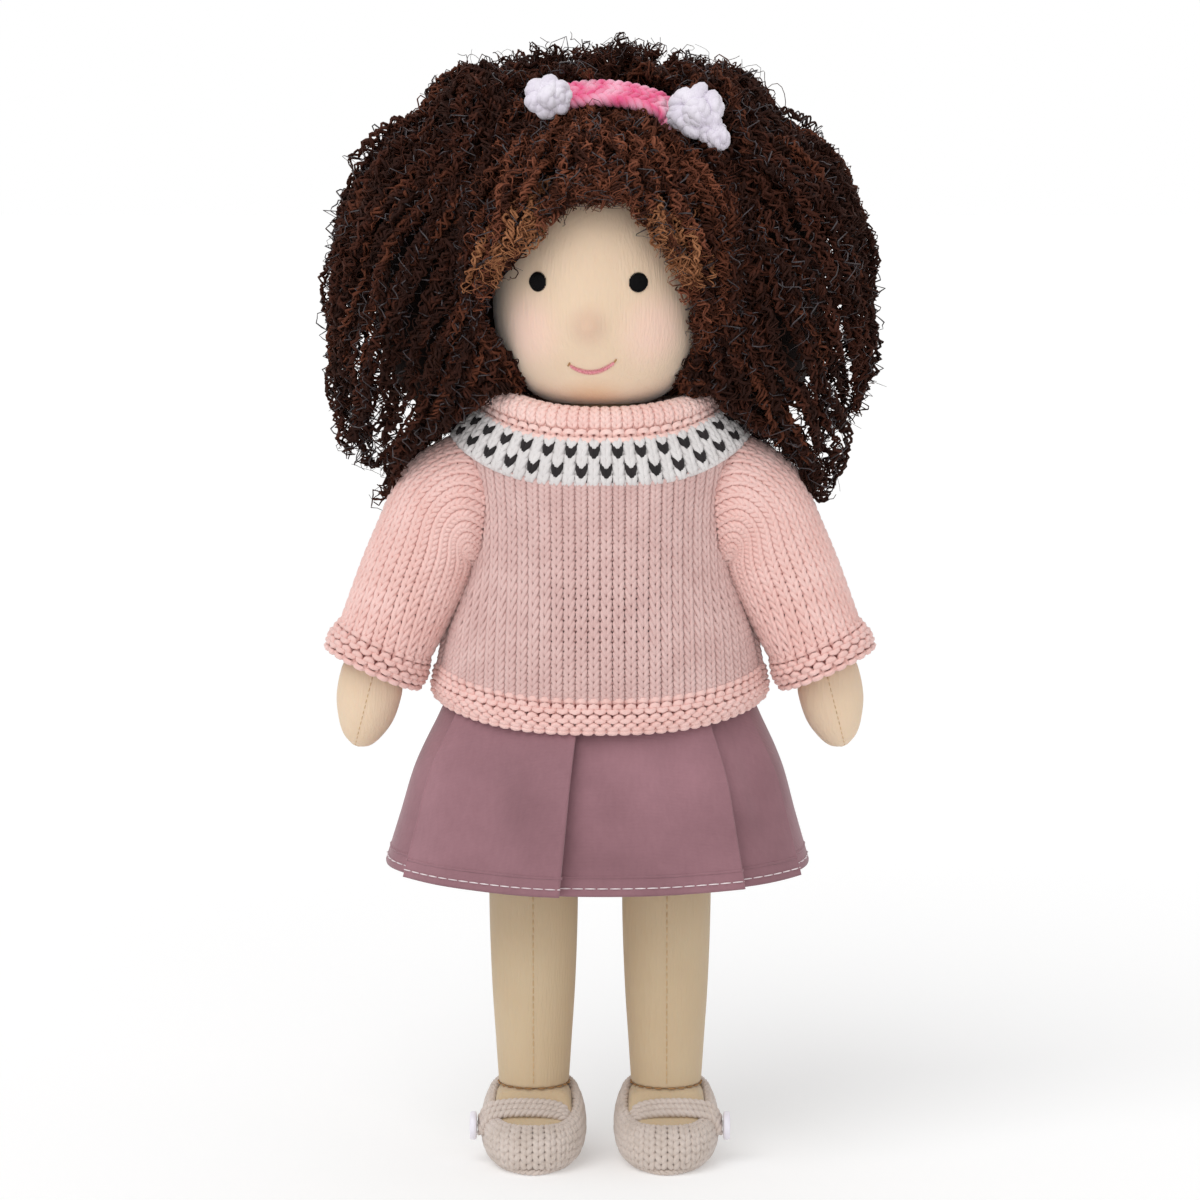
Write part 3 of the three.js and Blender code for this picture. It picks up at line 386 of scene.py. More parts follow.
# The collar's lining is likewise a darker copy of its yarn: painted shade between its stitches.
painted_gap_shade_rib = yarn("sweater_pink_rib", (226, 170, 162), (216, 154, 146), sheen=0.1)
white_yarn = yarn("sweater_white", (228, 224, 223), (218, 213, 212))
black_yarn = yarn("sweater_black", (34, 26, 28), (18, 14, 16), sheen=0.05)
shoe_yarn = yarn("shoe_crochet", (213, 199, 190), (202, 187, 176))
shoe_back = yarn("shoe_crochet_back", (204, 184, 158), (190, 170, 144), sheen=0.1)


# Knitting: every row is one real yarn looped along the garment's surface.
# A surface is place(turn, row): turn is the angle round it, 0 at its front, and rows count upwards.

STITCH = 3.27 * MM
ROW = 2.05 * MM
YARN = 0.68 * MM
FINE = 14  # points of the yarn in each stitch
GARTER = dict(purl=True, height=0.82, depth=0.7, width=0.2, thick=0.78 * MM)


def ellipse_map(width, depth):
    """Angles from -pi to pi on an ellipse, and the length along it from the front to each."""
    turn = np.linspace(-np.pi, np.pi, 721)
    step = np.hypot(width * np.cos(turn), depth * np.sin(turn))
    along = np.concatenate([[0], np.cumsum((step[1:] + step[:-1]) / 2 * (turn[1] - turn[0]))])
    return turn, along - along[360]


def spread(s, count, pitch, end):
    """Lengths to the stitch places s: even from the middle, and stretched over the last 4 up to the end."""
    even = count / 2 - 4
    far = np.abs(s)
    stretched = pitch * even + (end - pitch * even) * (far - even) / 4
    return np.where(far < even, pitch * far, stretched) * np.sign(s)


def two_panels(shape, rows):
    """Stitches counted out from the middle of the front and of the back, so that the columns stay upright."""

    def counts_of(row):
        _, wide, deep, _ = at_row(shape, row + 0.5, rows)
        turn, along = ellipse_map(wide, deep)
        quarter = np.interp(np.pi / 2, turn, along)
        count = 2 * round(quarter / STITCH)

        def turns_of(s):
            front = np.abs(s) <= count / 2
            near = np.where(front, s, s - np.sign(s) * count)
            angle = np.interp(spread(near, count, STITCH, quarter), along, turn)
            return np.where(front, angle, angle + np.pi * np.sign(s))

        return turns_of, 2 * count

    return counts_of


def arc_turns(shape, rows, count):
    """count stitches spread evenly along the ellipse of each row."""

    def counts_of(row):
        _, wide, deep, _ = at_row(shape, row + 0.5, rows)
        turn, along = ellipse_map(wide, deep)
        return (lambda s: np.interp(s * (along[-1] - along[0]) / count, along, turn)), count

    return counts_of


def outward_of(place, turn, row):
    step = 1e-3
    across = place(turn + step, row) - place(turn - step, row)
    up = place(turn, row + 5 * step) - place(turn, row - 5 * step)
    return unit(np.cross(across, up))


def yarn_row(
    place, row, turns_of, count, purl=False, height=0.95, depth=0.5, width=0.23, closer=0.05, thick=YARN
):
    """One row of stitches: points, quads, and each quad's stitch number and share of it.

    closer draws a stitch's two legs together, so that its column stands apart from the next."""
    t = np.linspace(0, 2 * np.pi * count, count * FINE, endpoint=False)
    s = t / (2 * np.pi) + width * np.sin(2 * t) + closer * np.sin(t) - count / 2
    turn = turns_of((s + count / 2) % count - count / 2)
    out = (depth if purl else -depth) * MM * np.cos(2 * t)
    facing = outward_of(place, turn, np.full_like(turn, row))
    path = place(turn, row - height * np.cos(t)) + facing * out[:, None]
    points, faces = tubes(path[None], np.full((1, len(t)), thick), 6, True, facing[None])
    step = np.repeat(np.arange(len(t)), 6)
    return points, faces, step // FINE, step % FINE / FINE


def lining(place, start, end, depth):
    """A smooth sheet just behind the stitches, so that nothing inside shows between them."""
    tt, rr = np.meshgrid(around(96), np.linspace(start, end + 0.5, int(end) + 4))
    facing = outward_of(place, tt.ravel(), rr.ravel())
    return place(tt.ravel(), rr.ravel()) - depth * facing, grid_faces(len(rr), 96)


def knit_parts(
    place, rows, counts_of, back, colours=None, start=0, centre=0.5, foot=0.6, behind=0.9, **shape
):
    """Rows of yarn and their lining. colours(row, stitch, share) gives each quad's material, back the lining's."""
    parts = []
    for row in range(start, rows):
        points, faces, stitch, share = yarn_row(place, row + centre, *counts_of(row), **shape)
        parts.append((points, faces, colours(row, stitch, share) if colours else 0))
    return parts + [(*lining(place, start - foot, rows, behind * MM), back)]


def knitted(name, place, rows, counts_of, materials, **how):
    return joined(name, knit_parts(place, rows, counts_of, len(materials) - 1, **how), materials)


def ring_place(shape, rows, bulge=None):
    """A surface through level ellipses, from rows of z, half width, half depth, rise at the sides."""

    def place(turn, row):
        z, wide, deep, rise = at_row(shape, row, rows)
        more = bulge(turn, row) if bulge else 0
        return oval(turn, 0, axis_y, z + rise * np.abs(np.sin(turn)) ** 3, wide + more, deep + more)

    return place


# The sweater's body, hem band, yoke and collar

body_rows = round((bodice_high[2] - bodice_low[2] - 13 * MM) / ROW)
front_top = bodice_low[2] + body_rows * ROW
yoke_top = collar_low[2] + 0.6 * MM
yoke_wide = yoke_high[0] + 6.6 * MM
half_depth = (yoke_high[1] - yoke_low[1]) / 2
hem_wide = bodice_high[0]
hem_deep = (bodice_high[1] - bodice_low[1]) / 2


def back_panel(turn, row):
    """The back is a little wider than the front near the hem, so that it shows beyond it at the side slits."""
    return 1.5 * MM * ease(-np.cos(turn), -0.02, 0.04) * (1 - ease(row, 8, 15))


def sweater_body():
    # Share of the height, then mm: narrower and flatter than the hem, and the rise at the sides.
    waist = (0, 0, 0, 5), (0.22, 2.4, 0.6, 4), (0.55, 7.6, 3.2, 2), (0.82, 8.6, 4.6, 5)
    shape = [
        (bodice_low[2] + share * (front_top - bodice_low[2]), hem_wide - a * MM, hem_deep - b * MM, rise * MM)
        for share, a, b, rise in waist
    ] + [(front_top, yoke_wide - 2 * MM, half_depth, 10.5 * MM)]
    place, half = ring_place(shape, body_rows, back_panel), body_rows // 2
    for k, (first, last) in enumerate(((0, half), (half, body_rows))):
        piece = knitted(
            f"sweater_body_{k}", place, last, two_panels(shape, body_rows), (painted_shade_body_pink, painted_gap_shade_body),
            start=first, thick=0.64 * MM,
        )
        dress(piece, "torso", "sweater_pink", *["sweater_bodice"][k:])


def hem():
    rows, rise = 4, 5 * MM
    shape = [
        (hem_low[2] + 0.6 * MM, hem_wide + 0.4 * MM, hem_deep + 0.6 * MM, rise),
        (hem_low[2] + 4 * MM, hem_wide + 1.2 * MM, hem_deep + 1.2 * MM, rise),
        (bodice_low[2] + 0.3 * MM, hem_wide + 0.2 * MM, hem_deep + 0.1 * MM, rise),
    ]
    place = ring_place(shape, rows, back_panel)
    piece = knitted("sweater_hem", place, rows, two_panels(shape, rows), (pink_yarn, painted_gap_shade_pink), **GARTER)
    dress(piece, "torso", "sweater_pink", "sweater_hem_band")


def yoke_pattern(row, stitch, share):
    """Every other stitch is black in the second and fourth rows, half a step out of line with each other."""
    if row not in (1, 3):
        return np.zeros(len(stitch), int)
    return np.where((share > 0.04) & (share < 0.96) & (stitch % 2 == row // 2), 1, 0)


def yoke():
    rows, count = 5, 60
    shape = [
        (front_top - 0.2 * MM, yoke_wide, half_depth + 0.2 * MM, 10.5 * MM),
        ((front_top + yoke_top) / 2, yoke_wide - 3 * MM, half_depth, 8.6 * MM),
        (yoke_top, collar_high[0] + 1.2 * MM, half_depth - 0.8 * MM, 6.5 * MM),
    ]
    piece = knitted(
        "sweater_yoke_knit", ring_place(shape, rows), rows, arc_turns(shape, rows, count),
        (white_yarn, black_yarn, white_yarn), colours=yoke_pattern, closer=0.08, width=0.2, thick=0.86 * MM,
    )
    dress(piece, "torso", "sweater_white", "sweater_yoke")


def collar():
    """A garter ridge, then a folded rib: its columns stand up from the ridge and roll over to the inside."""
    wide, deep = collar_high[0], (collar_high[1] - collar_low[1]) / 2
    ridge = [
        (yoke_top, wide + 1 * MM, half_depth - 0.8 * MM, 6.3 * MM),
        (yoke_top + 2.4 * MM, wide - 0.4 * MM, half_depth - 1.4 * MM, 5.4 * MM),
    ]
    parts = knit_parts(
        ring_place(ridge, 1), 1, arc_turns(ridge, 1, 52), 1, centre=0.45, foot=1.0, behind=0.8,
        purl=True, height=0.45, depth=0.6, width=0.2, closer=0, thick=0.78 * MM,
    )
    rows, columns = 8, 58
    top, foot = collar_high[2] - 2.6 * MM, yoke_top + 1.9 * MM
    # Out from the ridge in mm and height as a share, from the foot of the rib over its fold to its inner edge.
    profile = [
        (0.6, 0.0), (1.6, 0.22), (2.3, 0.46), (2.1, 0.7), (1.2, 0.9), (-0.5, 1.0), (-2.4, 0.93), (-3.6, 0.72),
        (-4.0, 0.45),
    ]

    def place(turn, row):
        out, up = at_row(profile, row, rows)
        reach = (out - 2.9) * MM
        rise = (5.2 - (1.0 + 0.8 * np.sin(turn)) * up) * MM * np.abs(np.sin(turn)) ** 2.4
        return oval(turn, 0, axis_y, foot + (top - foot) * up + rise, wide + reach, deep + reach)

    level = arc_turns([(0, wide - 1 * MM, deep - 1 * MM, 0)] * 2, 1, columns)
    parts += knit_parts(place, rows, lambda row: level(0), 1, foot=0, height=0.9, closer=0.07, thick=0.66 * MM)
    piece = joined("sweater_collar_knit", parts, (collar_pink, painted_gap_shade_rib))
    dress(piece, "torso", "sweater_pink", "sweater_collar")


sweater_body()
hem()
yoke()
collar()


# Sleeves and cuffs: rings that turn from the upright armhole to the slope of the arm

def sleeve_surface(shape, last):
    """From rows of the ring's middle x and z, the slope of its plane, its half height and its half depth."""
    rings = np.array(shape)
    far = lengths(rings[:, :2] + rings[:, 3:4] * np.stack([np.sin(rings[:, 2]), np.cos(rings[:, 2])], -1))

    def place(turn, row):
        down = (1 - np.asarray(row) / last) * far[-1]
        x, z, slope, high, deep = smooth(shape, np.interp(down, far, np.arange(len(far)))).T
        up = high * np.cos(turn)
        return np.stack([x + np.sin(slope) * up, axis_y + deep * np.sin(turn), z + np.cos(slope) * up], -1)

    return place


def sleeves():
    slope = math.pi / 2 - math.atan2(arm_along[0], -arm_along[2])
    cuff_low, cuff_high = span("cuff_left")
    half = (cuff_high[1] - cuff_low[1]) / 2 - 0.7 * MM
    cuff_start = arm_reach - CUFF_HALF
    cap_top, cap_bottom = front_top + 10.6 * MM, shoulder[2] - 23 * MM

    def ring(down, lean, high, deep):
        """A ring down the arm, its half height and depth in mm more than half."""
        at = shoulder + arm_along * down
        return at[0], at[2], lean, half + high * MM, half + deep * MM

    shape = [
        (yoke_high[0] - 1.6 * MM, (cap_top + cap_bottom) / 2, -0.12, (cap_top - cap_bottom) / 2 - MM, half - MM),
        (yoke_high[0] + 3.4 * MM, shoulder[2] - 3.5 * MM, 0.15, 17.6 * MM, half + 2.4 * MM),
        (*ring(8 * MM, 0.6, 0, 0)[:3], 15.6 * MM, half + 2.1 * MM),
        ring(16.5 * MM, slope - 0.16, 2.1, 1.7), ring(28 * MM, slope, 1.5, 1.2), ring(cuff_start, slope, 0.1, 0),
    ]
    cuff_shape = [
        ring(cuff_start, slope, 0.5, 0.4), ring(cuff_start + 4 * MM, slope, 1.5, 1.4),
        ring(cuff_start + 7.2 * MM, slope, 1.0, 1.0),
    ]
    outer_edge = 1.16 * cuff_start  # the rows are counted along the outside of the sleeve
    rows, cuff_rows, cuff_count, pitch = round(outer_edge / ROW), 3, 24, 3.15 * MM
    place, cuff_place = sleeve_surface(shape, rows), sleeve_surface(cuff_shape, cuff_rows)

    def counts_of(row):
        _, _, _, high, deep = at_row(shape, rows - row - 0.5, rows)
        turn, length = ellipse_map(deep, high)
        count = 2 * round(length[-1] / pitch)
        return (lambda s: np.interp(spread(s, count, pitch, length[-1]), length, turn)), count

    def cuff_counts(row):
        return (lambda s: 2 * np.pi * s / cuff_count), cuff_count

    for side, sign in SIDES:
        arm, pinks = f"arm_{side}", (pink_yarn, painted_gap_shade_pink)
        sleeve = knitted(f"sleeve_knit_{side}", place, rows, counts_of, pinks)
        cuff = knitted(f"cuff_knit_{side}", cuff_place, cuff_rows, cuff_counts, pinks, **GARTER)
        mirror(sleeve, sign)
        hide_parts(f"sleeve_{side}")
        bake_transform(sleeve)
        dress(cuff, arm, "sweater_pink", f"cuff_{side}", sign=sign)


sleeves()


# Body: jersey bags with sewn seams

limb_skin = jersey("skin_limbs", (207, 185, 153), (201, 177, 144))
arm_skin = jersey("skin_arms", (233, 209, 182), (227, 201, 172))
seam_thread = yarn("skin_seam", (214, 182, 140), (196, 162, 120), sheen=0.0)
brown_thread = yarn("ankle_thread", (186, 142, 92), (150, 108, 66), sheen=0.0)
SIDES_OF_BAG = 40


def bag(name, sections, material):
    """A closed skin through sections: points (rows, sides, 3)."""
    rows, sides = sections.shape[:2]
    ends = [fan_faces(sides)[:, ::-1], fan_faces(sides) + (rows - 1) * sides]
    return new_piece(name, sections, np.concatenate([grid_faces(rows, sides)] + ends), (material,))


def crease(turn, depth, width):
    """Shares that draw a line in at the front."""
    off = np.minimum(turn, 2 * np.pi - turn)
    return 1 - depth * np.exp(-((off / width) ** 2))


def round_sections(rows, x=0.0, deep_crease=0.0):
    """Level rings from rows of z, half width, half depth."""
    turn = around(SIDES_OF_BAG)
    pull = crease(turn, deep_crease, 0.1)
    z, wide, deep = np.asarray(rows).T[..., None]
    return oval(turn, x, axis_y, z, wide * pull, deep * pull)


def stitches(name, path, length, gap, radius, material, out, lift=0.0):
    """Short sewn dashes along a path of points, lying on the cloth whose outward directions are out."""
    along = lengths(path)
    share = np.linspace(0, 1, 7)
    where = np.arange(gap / 2, along[-1] - length, length + gap)[:, None] + length * share
    at = lambda values: np.stack([np.interp(where, along, v) for v in np.broadcast_to(values, path.shape).T], -1)
    arc = np.sin(np.pi * share)
    lines = at(path) + at(out) * (lift + radius * (1.3 * arc - 0.7))[..., None]
    radii = radius * (0.55 + 0.45 * arc) + np.zeros(where.shape)
    return new_piece(name, *tubes(lines, radii, 6), (material,))


def foot_sections(x, ankle):
    """Upright sections along the foot from heel to toe, flat below and round above."""
    low, high = span("foot_left")
    base, half, toe, heel = low[2], (high[0] - low[0]) / 2, low[1], high[1]
    # y, half width, top z
    rows = [
        (heel, 3.2 * MM, ankle - 8 * MM), (heel - 2.6 * MM, 7.6 * MM, ankle - 3 * MM),
        (axis_y + 2 * MM, 10.2 * MM, ankle - 0.1 * MM), (axis_y - 7.6 * MM, half, ankle - 0.2 * MM),
        (axis_y - 10.6 * MM, half, ankle - 1.6 * MM), (axis_y - 14 * MM, half, base + 11.5 * MM),
        (toe + 6.6 * MM, half - 0.6 * MM, base + 7.4 * MM), (toe + 2.4 * MM, half - 2.8 * MM, base + 5.6 * MM),
        (toe, half - 6.4 * MM, base + 3.6 * MM),
    ]
    y, half, top = resampled(rows, 40).T[..., None]
    across, up = np.sin(around(SIDES_OF_BAG)), np.cos(around(SIDES_OF_BAG))
    fuller = np.abs(across) ** 0.36 * np.sign(across)
    z = (top + base) / 2 - (top - base) / 2 * np.abs(up) ** 0.42 * np.sign(up)
    return np.stack([x - half * fuller, y + 0 * z, z], -1)


def legs():
    low, high = span("leg_skin_left")
    x, radius = (low[0] + high[0]) / 2, (high[0] - low[0]) / 2
    ankle, ankle_radius = low[2], 9.5 * MM
    # z and radius from the sewn top to the ankle
    steps = [
        (high[2] - 0.2 * MM, 0.16 * radius), (high[2] - 2 * MM, 0.52 * radius), (high[2] - 6 * MM, 0.86 * radius),
        (hip[2], radius), (hip[2] - 20 * MM, radius), (hip[2] - 40 * MM, 0.985 * radius),
        (hip[2] - 58 * MM, 0.93 * radius), (ankle + 12 * MM, 0.85 * radius),
        (ankle + 3 * MM, ankle_radius + 0.2 * MM), (ankle + 0.7 * MM, ankle_radius),
        (ankle + 0.1 * MM, ankle_radius - 0.5 * MM),
    ]
    fine = resampled(steps, 90)
    sections = round_sections([(z, r, r) for z, r in fine[::-1]], x, 0.02)
    front = np.array([(x, axis_y - r * 0.985, z) for z, r in fine if z < hip[2] - 4 * MM])
    turn = np.linspace(0, 2 * np.pi, 80)
    ring = oval(turn, x, axis_y, ankle + 0.1 * MM, ankle_radius, ankle_radius)
    ring_out = oval(turn, 0, 0, 0, 1, 1)
    for side, sign in SIDES:
        body, slot = f"leg_{side}", "skin_jersey"
        leg = bag(f"leg_cloth_{side}", sections, limb_skin)
        dress(leg, body, slot, f"leg_skin_{side}", f"leg_stuffing_{side}", filled=0.9, sign=sign)
        seam = stitches(f"leg_seam_{side}", front, 1.6 * MM, 0.5 * MM, 0.16 * MM, seam_thread, FRONT)
        sewn = 2.1 * MM, 0.7 * MM, 0.22 * MM, brown_thread, ring_out, 0.1 * MM
        for piece in (seam, stitches(f"ankle_seam_{side}", ring, *sewn)):
            dress(piece, body, slot, sign=sign)
        foot = bag(f"foot_cloth_{side}", foot_sections(x, ankle), limb_skin)
        dress(foot, body, slot, f"foot_{side}", filled=0.9, sign=sign)


def trunk():
    low, high = span("trunk_skin")
    wide, deep = high[0], (high[1] - low[1]) / 2
    # mm below the top, share of the half width, share of the half depth
    shares = [
        (90, 0.5, 0.5), (88, 0.88, 0.88), (70, 1, 1), (48, 0.93, 0.95), (16, 1, 0.93), (5, 0.75, 0.78),
        (0.4, 0.36, 0.55),
    ]
    rows = resampled([(high[2] - down * MM, a * wide, b * deep) for down, a, b in shares], 60)
    body = bag("trunk_cloth", round_sections(rows), limb_skin)
    dress(body, "torso", "skin_jersey", "trunk_skin", "trunk_stuffing", filled=0.85)
    low, high = span("neck")
    rows = [(z, r * high[0], r * high[0]) for z, r in ((low[2], 1), (middle("neck")[2], 0.96), (high[2], 1))]
    dress(bag("neck_cloth", round_sections(rows), limb_skin), "torso", "skin_jersey", "neck", filled=0.9)
    low, high = span("hip_gusset")
    turn, radius = around(SIDES_OF_BAG), (high[1] - low[1]) / 2
    x = np.linspace(low[0], high[0], 5)[:, None]
    rounds = np.broadcast_arrays(x, axis_y + radius * np.sin(turn), hip[2] + radius * np.cos(turn))
    dress(bag("gusset_cloth", np.stack(rounds, -1), limb_skin), "hips", "skin_jersey", "hip_gusset", filled=0.9)


def arms():
    """Each arm lies along its sleeve, with a mitten hand that turns in a little, and a seam down the hand."""
    across = np.array([-arm_along[2], 0, arm_along[0]])
    total = arm_reach + CUFF_HALF + HAND
    wrist = total - 25.5 * MM
    # mm from the shoulder, the wrist or the tip, half width, half depth
    upper = (-8.2, 1.5, 1.5), (-7.2, 4.6, 4.6), (-4, 7.4, 7.4), (2, 8.3, 8.3), (22, 9.3, 9.3)
    hand = (0, 8.1, 7.1), (8, 8.9, 7.1), (15, 8.4, 6.7), (20.5, 6.3, 5.1)
    tip = (-1.6, 3.9, 3.1), (0, 1, 0.8)
    rows = [
        (start + down * MM, a * MM, b * MM) for start, part in ((0, upper), (wrist, hand), (total, tip))
        for down, a, b in part
    ]
    down, wide, thick = resampled(rows, 90).T[..., None]
    bend = np.maximum(0, down - wrist) * math.tan(math.radians(10))
    turn = around(SIDES_OF_BAG)
    pull = crease(turn, 0.03, 0.12)
    centre = shoulder + arm_along * down - across * bend
    sections = (
        centre[:, None] + across * (wide * np.sin(turn) * pull)[..., None]
        + FRONT * (thick * np.cos(turn) * pull)[..., None]
    )
    line = (centre + FRONT * 0.975 * thick)[down[:, 0] > wrist - 2 * MM]
    for side, sign in SIDES:
        piece = bag(f"arm_cloth_{side}", sections[:, ::-1], arm_skin)
        seam = stitches(f"hand_seam_{side}", line, 1.1 * MM, 0.5 * MM, 0.13 * MM, seam_thread, FRONT)
        nodes = f"arm_skin_{side}", f"arm_stuffing_{side}"
        dress(piece, f"arm_{side}", "skin_jersey", *nodes, filled=0.85, sign=sign)
        dress(seam, f"arm_{side}", "skin_jersey", sign=sign)


legs()
trunk()
arms()


# Head: an egg, broad below, with a soft nose; the face looks a little to its own right

FACE_SPIN = spin(math.radians(-6))
head_tall = head_high[2] - head_low[2]
head_wide = head_high[0]


def head_radius(up):
    """The head's half width at a height above its flat underside."""
    cheek = 0.385 * head_tall
    below = np.clip((cheek - up) / (1.06 * cheek), 0, 1)
    above = np.clip((up - cheek) / (head_tall - cheek), 0, 1)
    return head_wide * np.where(up < cheek, np.sqrt(1 - below**2) ** 0.66, np.sqrt(np.maximum(1 - above**2, 0)))


def nose(x, up):
    tip = (x / (3.6 * MM)) ** 2 + ((up - 21.4 * MM) / (3.8 * MM)) ** 2
    bridge = (x / (8 * MM)) ** 2 + ((up - 20 * MM) / (11 * MM)) ** 2
    return 2.1 * MM * np.exp(-tip) + 0.9 * MM * np.exp(-bridge)


def face_point(x, z):
    """The place on the front of the head at x and z of the unturned face, and its outward direction."""
    up = z - head_low[2]
    y = -np.sqrt(np.maximum(head_radius(up) ** 2 - x * x, 1e-9)) - nose(x, up)
    out = unit(np.stack([x, y, 0.35 * (up - 0.39 * head_tall) * np.ones_like(x)], -1))
    return np.stack([x, y, z], -1) @ FACE_SPIN + [0, axis_y, 0], out @ FACE_SPIN


def sewn(name, threads, material, slot, *nodes):
    """Threads on the face, from x, z, height off the skin and radius along each."""
    lines = []
    for x, z, lift, _ in threads:
        here, out = face_point(x, z)
        lines.append(here + out * np.broadcast_to(lift, x.shape)[:, None])
    radii = np.array([np.broadcast_to(radius, x.shape) for x, _, _, radius in threads])
    dress(new_piece(name, *tubes(np.array(lines), radii, 6), (material,)), "head", slot, *nodes)


def head():
    up = (head_tall * (0.5 - 0.5 * np.cos(np.pi * 0.995 * np.linspace(0, 1, 120))))[:, None]
    turn, r = around(160), np.maximum(head_radius(up), 0.4 * MM)
    points = oval(turn, 0, 0, head_low[2] + up, r, r)
    y = points[..., 1]
    points = points - np.where(y < 0, nose(points[..., 0], up), 0)[..., None] * [0, 1, 0]
    # x and height above the chin, radius and colour of each round: pink blushes on the two cheeks, a warmer,
    # darker round at the chin, and painted shade that darkens the nose
    blushes_and_painted_shade = [
        (tuple(face_point(np.array(x * MM), np.array(head_low[2] + z * MM))[0]), radius * MM, colour)
        for x, z, radius, colour in (
            (-17, 20, 14, (245, 209, 189)), (17, 20, 14, (245, 209, 189)), (0, 1.5, 11, (222, 181, 142)),
            (0, 21.6, 8, (222, 189, 163)),
        )
    ]
    skin = jersey("skin_face", (233, 207, 179), (228, 200, 171), blushes_and_painted_shade, sheen=0.7)
    piece = bag("head_cloth", points @ FACE_SPIN + [0, axis_y, 0], skin)
    dress(piece, "head", "skin_jersey", "head_skin", "head_stuffing", filled=0.95)


def eyes():
    """Ovals of upright satin stitches, raised in the middle."""
    eye_z = middle("eye_left")[2] + 0.5 * MM
    half_gap = (middle("eye_left")[0] - middle("eye_right")[0]) / 2 - 0.5 * MM
    black = satin("eye_thread", (7, 6, 7), (3, 2, 3), 0.1)
    share = np.linspace(-1, 1, 9)
    for side, sign in SIDES:
        threads = []
        for x in np.linspace(-2.1, 2.1, 15) * MM:
            tall = 2.6 * MM * math.sqrt(max(1 - (x / (2.3 * MM)) ** 2, 0.05))
            lift = 0.62 * MM * (1 - 0.75 * share**2) * (1 - (x / (3.4 * MM)) ** 2) + 0.05 * MM
            at = np.full(9, sign * half_gap - 0.5 * MM + x)
            threads.append((at, eye_z + tall * share, lift, 0.24 * MM * (1 - 0.5 * share**4)))
        sewn(f"eye_stitch_{side}", threads, black, "embroidery_black", f"eye_{side}")


def mouth():
    """A smile of short leaning stitches, with a knot at each end."""
    top, slant = span("mouth")[1][2], 0.08
    half, aside = 5.6 * MM, 0.6 * MM
    rose = satin("mouth_thread", (238, 160, 170), (212, 118, 132))
    share = np.linspace(-1, 1, 7)
    threads = []
    for k, x in enumerate(np.linspace(-half, half, 46)):
        z = top - 0.5 * MM - 2.0 * MM * (1 - (x / half) ** 2) + slant * x
        tall = 0.62 * MM * (1 - 0.35 * (x / half) ** 4)
        lean = 0.22 * MM * (1 if k % 2 else -1)
        lift = 0.3 * MM * (1 - 0.8 * share**2) + 0.02 * MM
        threads.append((aside + x + lean * share, z + tall * share, lift, 0.16 * MM * (1 - 0.4 * share**4)))
    sewn("mouth_stitch", threads, rose, "embroidery_pink", "mouth")
    for k, x in enumerate((-half - 0.5 * MM, half + 0.5 * MM)):
        at, z = aside + x + np.linspace(-0.3, 0.3, 5) * MM, top + slant * x + np.linspace(-0.4, 0.5, 5) * MM
        sewn(f"mouth_end_{k}", [(at, z, 0.12 * MM, 0.22 * MM)], brown_thread, "embroidery_pink")


head()
eyes()
mouth()


# Skirt: one pleated sheet gathered into its waistband, with a turned hem sewn with white thread

# Folds round the skirt: degrees from the front, how far the crest stands out in mm, and the side it overlaps.
FOLDS = [
    (-152, 4.6, -1), (-124, 4.2, -1), (-95, 4.8, -1), (-63, 5.4, -1), (-8, 6.6, 1), (42, 6.2, 1), (69, 4.4, 1),
    (96, 4.6, 1), (123, 4.2, 1), (151, 4.6, 1), (179, 4.2, 1),
]
# Soft dents: degrees, share of the length down, half width in radians, half height as a share, depth in mm.
DENTS = [
    (8, 0.62, 0.1, 0.22, 1.5), (25, 0.36, 0.12, 0.2, 1.7), (-34, 0.5, 0.2, 0.4, 1.0), (57, 0.5, 0.1, 0.3, 1.2),
]


def fold_line(each=6):
    """Angles and heights of a closed line round the skirt that climbs to every crest and turns back under it."""
    crest = [(-0.5, 0.93), (0.0, 1.0), (0.12, 0.88), (-0.25, 0.66), (-0.8, 0.4), (-1.05, 0.16), (-0.85, 0.02)]
    turns = []
    for degrees, size, side in FOLDS:
        points = [(math.radians(degrees) + side * u * 0.012 * size, h * size) for u, h in crest]
        turns.append(np.array(points[::side]))
    turns.append(turns[0] + [2 * np.pi, 0])
    controls = []
    for fold, following in zip(turns, turns[1:]):
        (a, h), (b, k) = fold[-1], following[0]
        share = np.array([0.25, 0.5, 0.75])
        controls += [fold, np.stack([a + (b - a) * share, h * (1 - share) ** 1.4 + k * share**1.4], -1)]
    controls = np.concatenate(controls)
    whole = np.concatenate([controls[-1:] - [2 * np.pi, 0], controls, controls[:2] + [2 * np.pi, 0]])
    return smooth(whole, 1 + np.arange(each * len(controls)) / each).T


